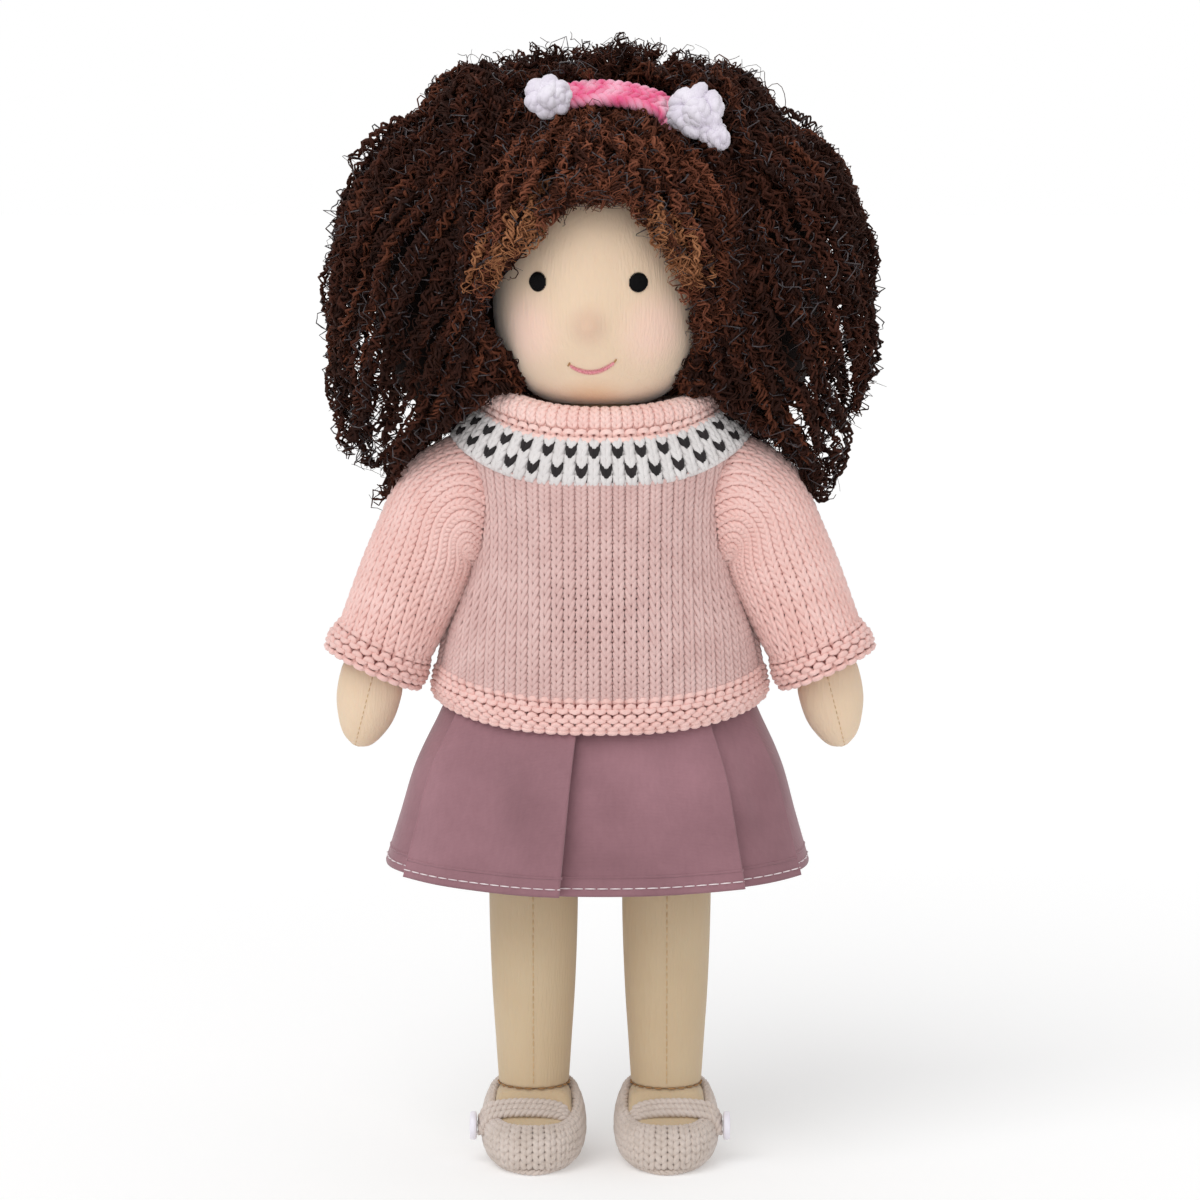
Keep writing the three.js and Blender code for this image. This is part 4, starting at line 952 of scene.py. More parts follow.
def skirt():
    low, high = span("skirt")
    waist_low, waist_high = span("skirt_waistband")
    length = high[2] - low[2]
    wide, deep = high[0], (high[1] - low[1]) / 2
    waist_wide, waist_deep = waist_high[0], (waist_high[1] - waist_low[1]) / 2
    # Share of the length down, half width, half depth, and how far the folds have opened
    shape = [
        (0.0, waist_wide - 0.4 * MM, waist_deep - 0.4 * MM, 0.12), (0.14, 40.0 * MM, 25.8 * MM, 0.3),
        (0.28, 44.0 * MM, 29.0 * MM, 0.5), (0.5, wide - 8.2 * MM, deep - 9.2 * MM, 0.75),
        (0.75, wide - 4.4 * MM, deep - 5.0 * MM, 0.9), (1.0, wide - 0.6 * MM, deep - 1.6 * MM, 1.0),
    ]
    rows = 50
    share, a, b, fold = resampled(shape, rows).T[..., None]
    turn, raised = fold_line()
    sides = len(turn)
    wave = 0.8 * np.sin(5 * turn + 1 + 1.5 * share) + 0.4 * np.sin(11 * turn - 2 * share)
    for degrees, down, half_wide, half_tall, depth in DENTS:
        aside, below = (turn - math.radians(degrees)) / half_wide, (share - down) / half_tall
        wave = wave - depth * np.exp(-(aside**2) - below**2)
    out = fold * (raised - 3.4 + wave * ease(share, 0, 0.5)) * MM
    turn = turn - 0.05 * share * np.cos(turn)
    sag = 2.2 * MM * share**3 * (np.cos(turn) - 0.2)
    shell = oval(turn, 0, axis_y, waist_low[2] - share * length - sag + 0.12 * out * share, a + out, b + out)
    flare = unit(oval(turn, 0, 0, 0.25, 1, 1))
    outer = grid_faces(rows, sides)
    top, bottom = (rows - 1) * sides, rows * sides
    j = np.arange(sides)
    k = (j + 1) % sides
    end = bottom + top
    rims = [np.stack([top + j, top + k, bottom + k, bottom + j], -1), np.stack([end + j, end + k, k, j], -1)]
    faces = np.concatenate([outer, outer + bottom] + rims)
    cloth = made_of("skirt_cloth", skirt_cloth)
    piece = new_piece("skirt_cloth", np.stack([shell[::-1], shell - flare * 0.35 * MM]), faces, (cloth,))

    closed = lambda ring: np.concatenate([ring, ring[:1]])
    near = int(rows * (1 - 2.3 * MM / length))
    white = yarn("skirt_thread", (238, 226, 228), (220, 204, 208), sheen=0.0)
    dashes = 2.8 * MM, 0.5 * MM, 0.19 * MM, white, closed(flare[near]), 0.12 * MM
    thread = stitches("skirt_topstitch", closed(shell[near]), *dashes)
    turned = int(rows * (1 - 5.2 * MM / length))
    ridge = shell[turned] - flare[turned] * 0.15 * MM
    hem_tube = tubes(ridge[None], np.full((1, sides), 0.42 * MM), 6, True, flare[turned][None])
    hem_edge = new_piece("skirt_hem_fold", *hem_tube, (cloth,))

    ripples = 120
    ring = around(ripples)
    rings = []
    for inward, height in ((0, waist_low[2]), (0, waist_high[2]), (1.6, waist_high[2]), (1.6, waist_low[2])):
        more = (0.3 * np.cos(40 * ring) - 0.3 - inward) * MM
        rings.append(oval(ring, 0, axis_y, height, waist_wide + more, waist_deep + more))
    faces = (grid_faces(5, ripples) % (4 * ripples))[:, ::-1]
    dress(new_piece("skirt_waist", rings, faces, (cloth,)), "torso", "skirt_cloth", "skirt_waistband")
    for made in (piece, thread, hem_edge):
        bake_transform(made)
    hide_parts("skirt")
    float(lengths(closed(shell[-1]))[-1])


skirt()


# Shoes: crocheted in rounds from the sole up, with a buttoned strap

# Each round: front and back y from the ankle's middle, half width, and the height in front and behind.
SHOE_ROUNDS = np.array([
    (-26.6, 12.0, 9.6, 1.0, 1.0), (-28.9, 13.3, 11.8, 3.2, 3.2), (-29.4, 13.7, 12.9, 6.4, 8.0),
    (-28.4, 13.5, 12.9, 8.9, 13.0), (-25.6, 13.0, 12.3, 10.6, 16.4), (-21.8, 12.2, 11.3, 11.1, 18.9),
]) * MM


def shoe_place(x, rounds):
    def place(turn, row):
        front, back, wide, low_z, high_z = at_row(SHOE_ROUNDS, row, rounds)
        y = (front + back) / 2 - (back - front) / 2 * np.cos(turn)
        fuller = np.abs(np.sin(turn)) ** 0.8 * np.sign(np.sin(turn))
        z = low_z + (high_z - low_z) * ease(0.5 - 0.5 * np.cos(turn), 0.05, 0.9)
        return np.stack([x + wide * fuller, axis_y + y, z], -1)

    return place


def rope(path, radius, amount, wave, sides=8, closed=False, out=(0, 0, 1), start=0.0):
    """Two yarns twisted round each other along one path (m, 3)."""
    ahead = unit(np.roll(path, -1, 0) - np.roll(path, 1, 0) if closed else np.gradient(path, axis=0))
    step = np.linalg.norm(np.gradient(path, axis=0), axis=1)
    along = np.cumsum(step) - step[0]
    turns = max(round(along[-1] / wave), 1) if closed else along[-1] / wave
    up = squared(np.broadcast_to(out, path.shape), ahead)
    angle = 2 * np.pi * (turns * along / along[-1] + np.array([[0], [0.5]])) + start
    twist = np.cos(angle)[..., None] * up + np.sin(angle)[..., None] * np.cross(ahead, up)
    paths = path + amount * twist
    facing = np.broadcast_to(up, paths.shape) if closed else None
    return tubes(paths, np.full(paths.shape[:2], radius), sides, closed, facing)


def sole(name, x, t):
    """A slab with rounds of rope under it."""
    low, high = span("shoe_sole_left")
    y, half_x, half_y = (low[1] + high[1]) / 2, (high[0] - low[0]) / 2, (high[1] - low[1]) / 2
    slab = [(0.9, 0.3), (0.97, 0.7), (0.97, 1.5), (0.9, 1.95)]
    rings = np.array([oval(t, x, y, h * MM, s * half_x, s * half_y) for s, h in slab])
    ends = [fan_faces(len(t))[:, ::-1], fan_faces(len(t)) + 3 * len(t)]
    parts = [(rings, np.concatenate([grid_faces(4, len(t))] + ends), 1)]
    for inset in np.arange(0.7, 9.5, 1.75) * MM:
        ring = oval(t, x, y, 0.92 * MM, half_x - inset, half_y - inset)
        parts.append((*rope(ring, 0.52 * MM, 0.36 * MM, 3 * MM, 6, True), 0))
    return joined(name, parts, (shoe_yarn, shoe_back))


def strap(name):
    """Three ropes over the foot and down its outer side."""
    low, high = span("shoe_strap_left")
    inner, outer, crest = low[0] + 1.0 * MM, high[0] - 1.0 * MM, high[2] - 0.4 * MM
    line = resampled([
        (inner, low[2] + 4.2 * MM), (inner + 1.4 * MM, crest - 1.4 * MM), (inner + 5.5 * MM, crest - 0.3 * MM),
        (inner + 11 * MM, crest), (inner + 16.5 * MM, crest - 0.2 * MM), (outer - 2.2 * MM, crest - 1.2 * MM),
        (outer - 0.2 * MM, crest - 3.8 * MM), (outer, low[2] + 2.2 * MM),
    ], 120)
    parts = []
    for k, shift in enumerate((-1.4 * MM, 0, 1.4 * MM)):
        path = np.stack([line[:, 0], np.full(120, (low[1] + high[1]) / 2 + shift), line[:, 1] + 0.85 * shift], -1)
        parts.append((*rope(path, 0.7 * MM, 0.45 * MM, 3.0 * MM, out=(0, 1.0, 0.1), start=k * 1.5), 0))
    return joined(name, parts, (shoe_yarn,))


def button(name, material):
    """A disc facing the side, with a raised rim and a hollow middle."""
    low, high = span("shoe_button_left")
    (_, y, z), (thick, wide, _) = (low + high) / 2, high - low
    profile = [
        (0.0, 0.0), (0.82, 0.0), (0.97, 0.16), (1.0, 0.5), (0.95, 0.86), (0.86, 1.0), (0.72, 0.92), (0.62, 0.6),
        (0.3, 0.5), (0.0, 0.5),
    ]
    share, out = resampled(profile, 37).T[..., None]
    turn, r = around(48), np.maximum(share, 0.002) * wide / 2
    rings = np.stack([low[0] + out * thick + 0 * turn, y + r * np.cos(turn), z + r * np.sin(turn)], -1)
    return new_piece(name, rings, grid_faces(37, 48), (material,))


def shoes():
    rounds, pitch = 8, 3.1 * MM
    place = shoe_place(hip[0], rounds)

    def counts_of(row):
        turn = np.linspace(-np.pi, np.pi, 361)
        along = lengths(place(turn, np.full_like(turn, row + 0.5)))
        along -= along[180]
        count = 2 * round((along[-1] - along[0]) / pitch / 2)
        return (lambda s: np.interp(s / (count / 2) * along[-1], along, turn)), count

    t = around(200)
    rim = place(t, np.full_like(t, rounds + 0.15))
    rim_out = outward_of(place, t, np.full_like(t, rounds))
    white = plastic("button_white", (238, 234, 243), (232, 228, 237))
    for side, sign in SIDES:
        upper = knitted(
            f"shoe_crochet_{side}", place, rounds, counts_of, (shoe_yarn, shoe_back),
            height=0.74, depth=0.6, width=0.2, closer=0.02, thick=0.86 * MM,
        )
        edge = new_piece(
            f"shoe_edge_{side}", *rope(rim, 0.62 * MM, 0.5 * MM, 3.4 * MM, 6, True, rim_out), (shoe_yarn,)
        )
        under, band = sole(f"shoe_sole_crochet_{side}", hip[0], t), strap(f"strap_crochet_{side}")
        disc = button(f"button_disc_{side}", white)
        for piece, body, slot, *nodes in (
            (upper, "leg", "shoe_crochet", f"shoe_upper_{side}"), (edge, "leg", "shoe_crochet"),
            (under, "leg", "shoe_crochet", f"shoe_sole_{side}"),
            (band, "strap", "shoe_crochet", f"shoe_strap_{side}"),
            (disc, "strap", "button", f"shoe_button_{side}"),
        ):
            dress(piece, f"{body}_{side}", slot, *nodes, sign=sign)


shoes()


# Hair: curly spun locks with a thin binder, over a dark core of painted shade

hair_colours = [
    # With the default weights in locks, the bunches, crown locks, mane and tufts are mostly dark and brown yarn,
    # darker than the cap's: painted shade for their deep self-shadow.
    hair_yarn("hair_dark", (31, 12, 7), (50, 23, 15)),
    hair_yarn("hair_brown", (46, 21, 13), (74, 37, 25)),
    hair_yarn("hair_light", (66, 33, 21), (102, 56, 38)),
    hair_yarn("hair_tan", (130, 82, 54), (172, 118, 82)),
    hair_yarn("hair_binder", (30, 22, 26), (52, 43, 49), 0.6, 0.42),
    hair_yarn("hair_front", (92, 50, 36), (136, 80, 58)),
    # Near black: painted shade for the gaps between the locks.
    hair_yarn("hair_core", (17, 7, 5), (26, 12, 9)),
]
TAN, BINDER, SHADE_CORE = 3, 4, 6
MOST_TRIANGLES = 190000
HAIR_STEP = 0.78 * MM  # between the points of a lock
HANG = 29.4 * MM  # the bunches may hang down behind this y
BACK = 26.5 * MM  # and the back hair behind this one
# The opening round the face in mm: heights above the chin, and its two edges there.
face_heights = [-9, 0, 10, 22, 27, 33, 41, 48, 52, 55.5]
face_left = [-31, -32, -33.5, -34, -33, -29.5, -22.5, -17, -13.5, -7]
face_right = [24, 25.5, 26.5, 27.5, 27, 24.5, 18.5, 13.5, 10.5, 6]


def egg(centre, halves, power=2.0):
    """A shell with half width, half depth, height above and depth below; power above 2 squares it.

    It gives the points in the directions way, at a share size of the way out."""
    wide, deep, up, down = halves

    def shell(way, size=1.0):
        tall = np.where(way[..., 2] > 0, up, down)
        scale = np.stack([np.full_like(tall, wide), np.full_like(tall, deep), tall], -1)
        return centre + way * scale * (np.abs(way) ** power).sum(-1, keepdims=True) ** (-1 / power) * size

    return shell


cap_centre = np.array([0, axis_y, cap_high[2] - 43.6 * MM])
cap_halves = (cap_high[0], 37.5 * MM, 43.6 * MM, 33 * MM)
cap_shell = egg(cap_centre, cap_halves)


def bunch_shell(side, sign):
    low, high = span(f"hair_bunch_{side}")
    centre = np.array([sign * 42 * MM, (low[1] + high[1]) / 2, low[2] + 54 * MM])
    return egg(centre, (31 * MM, (high[1] - low[1]) / 2 + 1 * MM, 52 * MM, 54 * MM), 2.1)


def mane_shell():
    low, high = span("hair_mane")
    centre = np.array([0, low[1] + 20 * MM, 248 * MM])
    reach = high - centre
    return egg(centre, (reach[0] + 4 * MM, reach[1], reach[2] - 5.5 * MM, centre[2] - low[2]), 2.7)


def slerp(a, b, t):
    """Directions from a to b (n, 3) at shares t (m,)."""
    angle = np.arccos(np.clip((a * b).sum(-1), -1, 0.99999))[:, None]
    one, two = (np.sin(share * angle) / np.sin(angle) for share in (1 - t, t))
    return one[..., None] * a[:, None] + two[..., None] * b[:, None]


def strewn(count, turn, stray, lift=0.0):
    """Directions spread evenly over the whole sphere, then strayed a little and drawn up."""
    i = np.arange(count) + 0.5
    z = 1 - 2 * i / count
    angle = np.pi * (1 + 5**0.5) * i + turn
    r = np.sqrt(1 - z * z)
    even = np.stack([r * np.cos(angle), r * np.sin(angle), z], -1)
    return unit(even + rng.normal(0, stray, even.shape) + [0, 0, lift])


def toward(ends, goal, angle):
    """Directions the given angles (n,) from ends toward goal."""
    far = np.arccos(np.clip(ends @ goal, -1, 1))
    share = np.minimum(angle / np.maximum(far, 0.2), 0.92)[:, None]
    return unit((1 - share) * ends + share * goal + rng.normal(0, 0.05, ends.shape))


def face_gap(x, z):
    """How far the point is outside the opening round the face, in metres; negative inside it."""
    up = (z - head_low[2]) / MM
    left = np.interp(up, face_heights, face_left) * MM
    right = np.interp(up, face_heights, face_right) * MM
    beside = np.maximum(left - x, x - right)
    above = z - head_low[2] - face_heights[-1] * MM
    return np.where(above > 0, np.hypot(above, np.maximum(beside, 0)), beside)


def off_face(path):
    """Moves points that lie over the face sideways to the edge of the hair's opening."""
    x, y, z = np.moveaxis(path, -1, 0)
    gap = face_gap(x, z)
    over = (y < axis_y) & (gap < -2.5 * MM) & (z < head_low[2] + 52 * MM)
    side = np.where(x + 2.8 * MM > 0, 1, -1)
    return np.stack([x - np.where(over, (gap + 2.5 * MM) * side, 0), y, np.maximum(z, cap_low[2] - 1 * MM)], -1)


def outside_cap(path):
    """Pushes points out of the cap of hair round the head."""
    off = path - cap_centre
    wide, deep, up, down = cap_halves
    tall = np.where(off[..., 2] > 0, up, down)
    size = np.sqrt((off[..., 0] / wide) ** 2 + (off[..., 1] / deep) ** 2 + (off[..., 2] / tall) ** 2)
    return cap_centre + off * np.maximum(1 / np.maximum(size, 1e-6), 1)[..., None]


def over_shoulders(path, plane):
    """Lifts points off the room over the shoulders in which the hair turns; behind the plane they may hang."""
    x, y, z = np.moveaxis(path, -1, 0)
    r = np.hypot(x, y - axis_y)
    rounds, heights = np.array([(0, 33, 41, 51, 56), (3.5, 3.5, -4, -11, -21)]) * MM
    top = neck_z + np.interp(r, rounds, heights) + 1.2 * MM
    return np.stack([x, y, np.where((r < 57 * MM) & (y < plane) & (z < top), top, z)], -1)


def behind_neck(path, plane):
    """Moves low points of the back hair out behind the collar and the back."""
    x, y, z = np.moveaxis(path, -1, 0)
    low = ease(z, neck_z + 9 * MM, neck_z + 1 * MM)
    return np.stack([x, np.maximum(y, plane * low + y * (1 - low)), z], -1)


def curled(paths, amount, wave, strands, radius, fray=0.5):
    """Curls strands round each path (n, m, 3): returns their paths and radii.

    Each strand turns its own way at its own pace, in puffs with tighter places between them. All the
    lengths of waves are picked in mm, and their starts from 0 to 6.3 radians."""
    n, m = paths.shape[:2]
    ahead = unit(np.gradient(paths, axis=1))
    steps = np.linalg.norm(np.diff(paths, axis=1), axis=-1)
    along = np.concatenate([np.zeros((n, 1)), np.cumsum(steps, 1)], 1)
    side = squared(unit(paths - paths.mean(1, keepdims=True) * [0, 0, 1] - [0, axis_y, 0]), ahead)
    other = np.cross(ahead, side)
    pick = lambda low, high: rng.uniform(low, high, (n, 1))
    roll = lambda angle: np.cos(angle)[..., None] * side + np.sin(angle)[..., None] * other
    swing = lambda low, high: np.sin(along / (pick(low, high) * MM) + pick(0, 6.3))
    sway = 1.2 * MM * (swing(4, 8)[..., None] * side + swing(3, 7)[..., None] * other)
    end = along[:, -1:] - along
    puff = 0.78 + 0.3 * swing(1.5, 2.2) + fray * np.exp(-end / (5 * MM))
    all_paths, all_radii = [], []
    for _ in range(strands):
        way = np.where(rng.random((n, 1)) < 0.5, -1, 1)
        wide = 2 * np.pi * way * along / (pick(*wave) * MM) + 0.9 * swing(1, 2.5) + pick(0, 6.3)
        tight = -2 * np.pi * way * along / (pick(2.1, 3.4) * MM) + pick(0, 6.3)
        reach = amount * pick(0.65, 1.2) * puff
        all_paths.append(paths + sway + reach[..., None] * roll(wide) + 0.34 * amount * roll(tight))
        all_radii.append(radius * (1 + 0.25 * swing(0.6, 1.2)) * (0.35 + 0.65 * ease(end, 0, 5 * MM)))
    return np.concatenate(all_paths), np.concatenate(all_radii)


def hair_piece(name, paths, radii, shade, sides=3):
    """Thread pieces that each stay under the most triangles; shade is a colour number per path."""
    n, m = paths.shape[:2]
    most = max(int(MOST_TRIANGLES / ((m - 1) * sides * 2)), 1)
    made = []
    for k, first in enumerate(range(0, n, most)):
        part = slice(first, first + most)
        points, faces = tubes(paths[part], radii[part], sides)
        count = len(paths[part])
        numbers = np.repeat(shade[part], len(faces) // count)
        piece = new_piece(f"{name}_{k}", points, faces, hair_colours, numbers, strip_uv(count, m, sides))
        dress(piece, "head", "hair_yarn")
        made.append(piece)
    return made


# The default weights favour the dark yarn: painted shade for hair that hangs in deep self-shadow.
def locks(name, path, amount=1.2, wave=(3.4, 5.8), radius=0.44, shades=(0.45, 0.4, 0.15, 0, 0, 0), tan=None):
    """Curly locks along paths (n, m, 3): 3 thick strands, a looser thin one, and a dark binder round some."""
    n = len(path)
    shade = rng.choice(6, n, p=shades)
    if tan is not None:
        shade = np.where(tan(path[:, -1]), TAN, shade)
    paths, radii = curled(path, amount * MM, wave, 3, radius * MM)
    thin_paths, thin_radii = curled(path, 1.6 * amount * MM, (4, 9), 1, 0.2 * MM, 1.2)
    thin = np.where(rng.random(n) < 0.45, BINDER, shade)
    paths, radii = np.concatenate([paths, thin_paths]), np.concatenate([radii, thin_radii])
    return hair_piece(name, paths, radii, np.concatenate([np.tile(shade, 3), thin]))


def grow(name, shell, start, end, root, tip, adjust, droop, **look):
    """Locks from directions start to end on a shell, at shares root and tip of the way out, in three groups
    by length. Their tips droop by mm from that range, and adjust moves the paths clear of other things."""
    reach = np.linalg.norm(shell(end) - shell(start), axis=1) * 1.12
    made = []
    for k, group in enumerate(np.array_split(np.argsort(reach), 3)):
        t = np.linspace(0, 1, int(reach[group].max() / HAIR_STEP) + 6)
        way = slerp(start[group], end[group], t)
        depth = root + (tip - root) * ease(t, 0, 0.75) + rng.uniform(-0.06, 0.03, (len(group), 1))
        path = shell(way, depth[..., None])
        path[..., 2] -= rng.uniform(*droop, (len(group), 1)) * MM * t**4
        made += locks(f"{name}_{k}", adjust(path), **look)
    return made


def near_temples(tip):
    """Where the pale tufts grow: beside the forehead, at the edge of the opening."""
    up = tip[:, 2] - head_low[2]
    edge = np.abs(face_gap(tip[:, 0], tip[:, 2])) < 4.5 * MM
    return edge & (tip[:, 1] < axis_y) & (up > 30 * MM) & (up < 48 * MM) & (rng.random(len(tip)) < 0.7)


def cap_hair():
    """Short curls flowing from the crown to all of the cap, and a fringe of them along the face opening."""
    crown = unit(np.array([0.0, 0.12, 1.0]))
    ends = strewn(1500, 0.4, 0.05)
    at = cap_shell(ends)
    clear = np.where(at[:, 1] < axis_y, face_gap(at[:, 0], at[:, 2]), 1) > -0.5 * MM
    ends = ends[clear & (ends[:, 2] > -0.9) & (ends[:, 1] < 0.6) & (ends[:, 2] < 0.97)]
    up = np.linspace(4, 56, 60)
    over = np.linspace(face_left[-1] - 2, face_right[-1] + 2, 60)
    rim = []
    for x, z in (
        (np.interp(up, face_heights, face_left), up), (np.interp(up, face_heights, face_right), up),
        (over, np.full(60, face_heights[-1] - 0.5)),
    ):
        x = (x + rng.uniform(-1.5, 1.5, 60)) * MM
        z = head_low[2] + (z + rng.uniform(-1, 1, 60)) * MM - cap_centre[2]
        x, z = x / cap_halves[0], z / np.where(z > 0, *cap_halves[2:])
        rim.append(unit(np.stack([x, -np.sqrt(np.maximum(1 - x * x - z * z, 0.02)), z], -1)))
    made = []
    for name, tips, far in (("hair_cap", ends, (0.35, 0.7)), ("hair_rim", np.concatenate(rim), (0.22, 0.45))):
        start = toward(tips, crown, rng.uniform(*far, len(tips)))
        made += grow(
            name, cap_shell, start, tips, 0.86, 0.99, off_face, (-1, 1.5), amount=1.0, wave=(2.6, 4.4),
            radius=0.36, shades=(0, 0.25, 0.3, 0, 0, 0.45), tan=near_temples,
        )
    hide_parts("hair_front")


def bunches():
    for side, sign in SIDES:
        hang = lambda path: over_shoulders(outside_cap(path), HANG)
        shell = bunch_shell(side, sign)
        ends = strewn(350, side == "left", 0.08, -0.3)
        ends = ends[(ends[:, 0] * sign > -0.4) & (ends[:, 2] < 0.93)]
        start = unit(np.array([-0.62 * sign, -0.1, 0.78]) + rng.normal(0, 0.13, ends.shape))
        made = grow(f"hair_bunch_{side}", shell, start, ends, 0.9, 1.0, hang, (-3, 6))
        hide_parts(f"hair_bunch_{side}")
        # The crown's short hair, which joins the bunch to the hair behind the band
        crown = np.array([sign * 33 * MM, axis_y + 12 * MM, 257 * MM])
        crown_shell = egg(crown, (20 * MM, 26 * MM, 36.5 * MM, 26 * MM))
        tips = strewn(150, side == "left", 0.08, 0.5)
        start = unit(np.array([-0.3 * sign, 0.2, 0.8]) + rng.normal(0, 0.4, tips.shape))
        grow(f"hair_crown_{side}", crown_shell, start, tips, 0.85, 1.0, outside_cap, (-2, 3))


def mane():
    """The back hair, and short tufts on top of it."""
    hang = lambda path: over_shoulders(behind_neck(path, BACK), BACK)
    shell = mane_shell()
    ends = strewn(560, 1.0, 0.07, -0.22)
    ends = ends[(ends[:, 1] > -0.25) | ((ends[:, 2] > 0.75) & (ends[:, 1] > -0.6))]
    start = toward(ends, unit(np.array([0.0, 0.05, 1.0])), rng.uniform(0.5, 1.3, len(ends)))
    made = grow("hair_mane", shell, start, ends, 0.82, 1.0, hang, (-3, 5))
    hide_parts("hair_mane")
    tips = unit(rng.normal(0, 1, (300, 3)) * [0.75, 0.3, 0.3] + [0, 0.1, 0.85])
    tips = tips[np.abs(tips[:, 0]) < 0.8][:110]
    start = toward(tips, unit(np.array([0.0, 0.5, 0.6])), rng.uniform(0.15, 0.3, len(tips)))
    grow("hair_tufts", shell, start, tips, 0.86, 1.05, lambda path: path, (-3, 2), amount=1.1, wave=(3.0, 5.0))


def hair_core():
    """A dark inner layer, painted shade that fills the gaps between the locks so that nothing pale shows there."""
    tall, wide = 90, 150
    up = np.linspace(-0.5 * np.pi, 0.5 * np.pi, tall)[:, None]
    turn = around(wide)
    way = np.stack([np.cos(up) * np.sin(turn), -np.cos(up) * np.cos(turn), np.sin(up) + 0 * turn], -1)
    inner = cap_shell(way, 0.87)
    gap = np.where(cap_shell(way)[..., 1] < axis_y, face_gap(inner[..., 0], inner[..., 2]), 1)
    gap = np.minimum(gap, (way[..., 2] + 0.86) * 30 * MM)
    parts = [("hair_cap_core", cap_shell(way, 0.5 + 0.37 * ease(gap, 1.2 * MM, 4.2 * MM)[..., None]))]
    for side, sign in SIDES:
        inner = bunch_shell(side, sign)(way, 0.6) + [0, 1 * MM, 5 * MM]
        parts.append((f"hair_bunch_shade_core_{side}", over_shoulders(inner, HANG)))
    inner = mane_shell()(way, np.array([0.66, 0.7, 0.76]))
    parts.append(("hair_mane_core", over_shoulders(behind_neck(inner, BACK + 3 * MM), BACK)))
    for name, points in parts:
        dress(new_piece(name, points, grid_faces(tall, wide), hair_colours[SHADE_CORE:]), "head", "hair_yarn")


cap_hair()
bunches()
mane()
hair_core()


# Hair band and flowers

def hair_band():
    """Four ropes side by side over the crown, twisted to and fro in turn so that they look braided."""
    low, high = span("hair_band")
    chains, steep = 4, 0.36 * np.pi
    angle = np.linspace(-1, 1, 220) * steep
    x = (high[0] - 1.6 * MM) * np.sin(angle) / np.sin(steep)
    rise = high[2] - low[2] - 2 * MM
    z = low[2] + 0.6 * MM + rise * (np.cos(angle) - np.cos(steep)) / (1 - np.cos(steep))
    out = unit(np.stack([x, 0 * x, z - cap_centre[2]], -1))
    parts = []
    for k in range(chains):
        y = low[1] + (high[1] - low[1]) * (k + 0.5) / chains
        drop = (3.6 - 1.2 * k) * MM + 9 * MM * ease(np.where(x > 0, x - 5 * MM, -x), 12 * MM, 20 * MM)
        path = np.stack([x, np.full_like(x, y), z], -1) - out * drop[:, None]
        parts.append((*rope(path, 1.0 * MM, 0.9 * MM, (-1) ** k * 4.6 * MM, out=out, start=k * 1.7), 0))
    piece = joined("hair_band_crochet", parts, (made_of("band_crochet", band_yarn),))
    dress(piece, "head", "band_crochet", "hair_band")


def flowers():
    """Balls of rope: petals round a middle, and three more that trail down from the left flower."""
    white = yarn("flower_crochet", (240, 234, 244), (224, 216, 230), sheen=0.5)
    petals, t = 6, around(48)
    for side, trail, lift in (("right", 0, 0.6), ("left", 3, 2.6)):
        low, high = span(f"hair_flower_{side}")
        centre, half = (low + high) / 2 + [0, 0, lift * MM], (high - low) / 2
        parts, size = [], 0.55 * min(half[0], half[2])
        for k in range(petals + 1 + trail):
            angle = 2 * np.pi * k / petals + 0.4
            if k < petals:
                at = centre + [0.5 * half[0] * math.cos(angle), 0.5 * MM, 0.42 * half[2] * math.sin(angle)]
            elif k == petals:
                at = centre - [0, 0.35 * half[1], 0]
            else:
                far = (k - petals) / trail
                at = centre + [(0.35 + 0.35 * far) * half[0], 0.4 * MM, -(0.55 + 0.3 * far) * half[2]]
            for _ in range(3):
                lean = rng.uniform(0, np.pi)
                r = size * (0.42 + 0.13 * rng.random())
                ring = np.stack([r * np.cos(t), 0.45 * r * np.sin(2 * t + lean), r * np.sin(t)], -1) @ spin(lean)
                thick = (1.0 if k > petals else 1.4) * MM
                parts.append((*rope(ring + at, thick, 0.45 * MM, 4 * MM, 8, True, unit(ring + 1e-6)), 0))
        piece = joined(f"hair_flower_crochet_{side}", parts, (white,))
        dress(piece, "head", "flower_crochet", f"hair_flower_{side}")


hair_band()
flowers()


# Camera, light, backdrop and floor

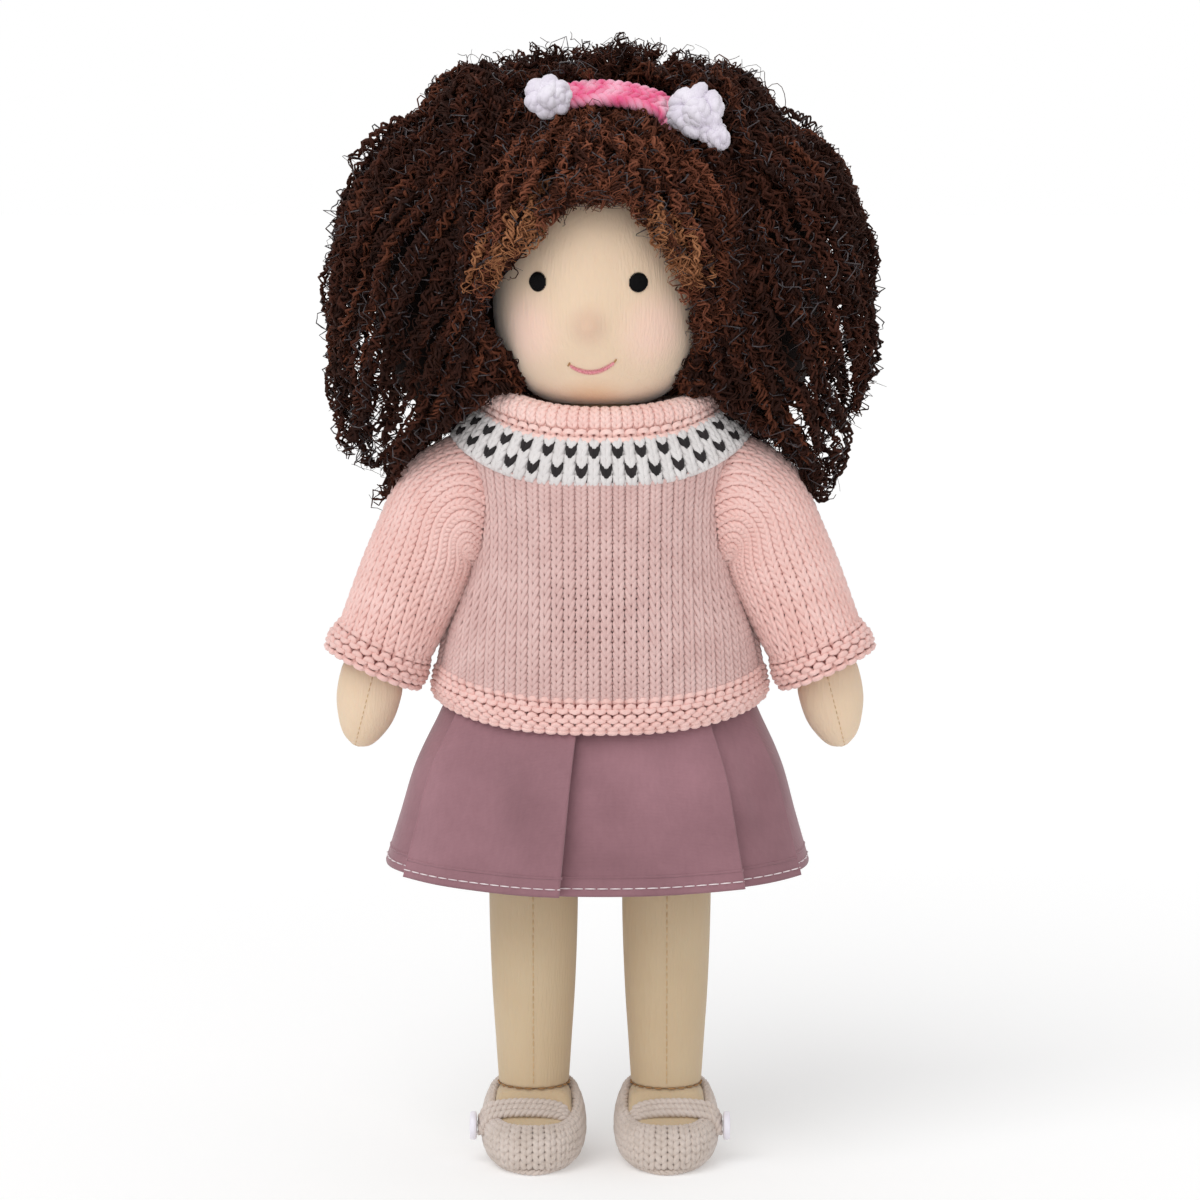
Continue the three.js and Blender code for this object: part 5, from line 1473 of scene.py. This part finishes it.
def set_camera(scene):
    camera = bpy.data.objects.new("camera", bpy.data.cameras.new("camera"))
    scene.collection.objects.link(camera)
    scene.camera = camera
    distance, elevation, target, half_view = 1.3, math.radians(7), np.array([0, 0, 0.151]), 0.162
    camera.location = target + distance * np.array([0, -math.cos(elevation), math.sin(elevation)])
    camera.rotation_euler = (math.pi / 2 - elevation, 0, 0)
    camera.data.angle = 2 * math.atan(half_view / distance)
    camera.data.clip_start, camera.data.clip_end = 0.05, 50


def set_suns(scene):
    # Power, then degrees: softness, azimuth, height
    for name, power, angle, azimuth, height in (
        ("key", 1.1, 45, -32, 50), ("fill", 0.48, 60, 4, 14), ("top", 0.45, 80, 170, 70),
    ):
        sun = bpy.data.lights.new(name, "SUN")
        sun.energy, sun.angle = power, math.radians(angle)
        lamp = bpy.data.objects.new(name, sun)
        lamp.rotation_euler = (math.radians(90 - height), 0, math.radians(azimuth))
        scene.collection.objects.link(lamp)


def set_backdrop(scene):
    """White where it is seen, also in gloss and through glass, and half as strong as a light."""
    world = bpy.data.worlds.new("studio")
    scene.world = world
    world.use_nodes = True
    tree = world.node_tree
    rays = add(tree, "LightPath", {}).outputs
    seen = rays["Is Camera Ray"]
    for other in ("Is Transmission Ray", "Is Glossy Ray"):
        seen = add(tree, "Math", {0: seen, 1: rays[other]}, operation="MAXIMUM").outputs[0]
    strength = add(tree, "MapRange", {"Value": seen, "To Min": 0.5, "To Max": 1.0}).outputs["Result"]
    feed(tree.nodes["Background"], {"Strength": strength, "Color": (1, 1, 1, 1)})


def set_floor():
    material = made_of("floor", lambda tree: {
        "Base Color": (0.8, 0.8, 0.8, 1), "Roughness": 1, "Specular IOR Level": 0,
        "Emission Color": (1, 1, 1, 1), "Emission Strength": 0.26,
    })
    corners = [(-4, -4, 0), (4, -4, 0), (4, 6, 0), (-4, 6, 0)]
    new_piece("floor", corners, [[0, 1, 2, 3]], (material,))


scene = bpy.context.scene
scene.view_settings.view_transform = "Standard"
set_camera(scene)
set_suns(scene)
set_backdrop(scene)
set_floor()
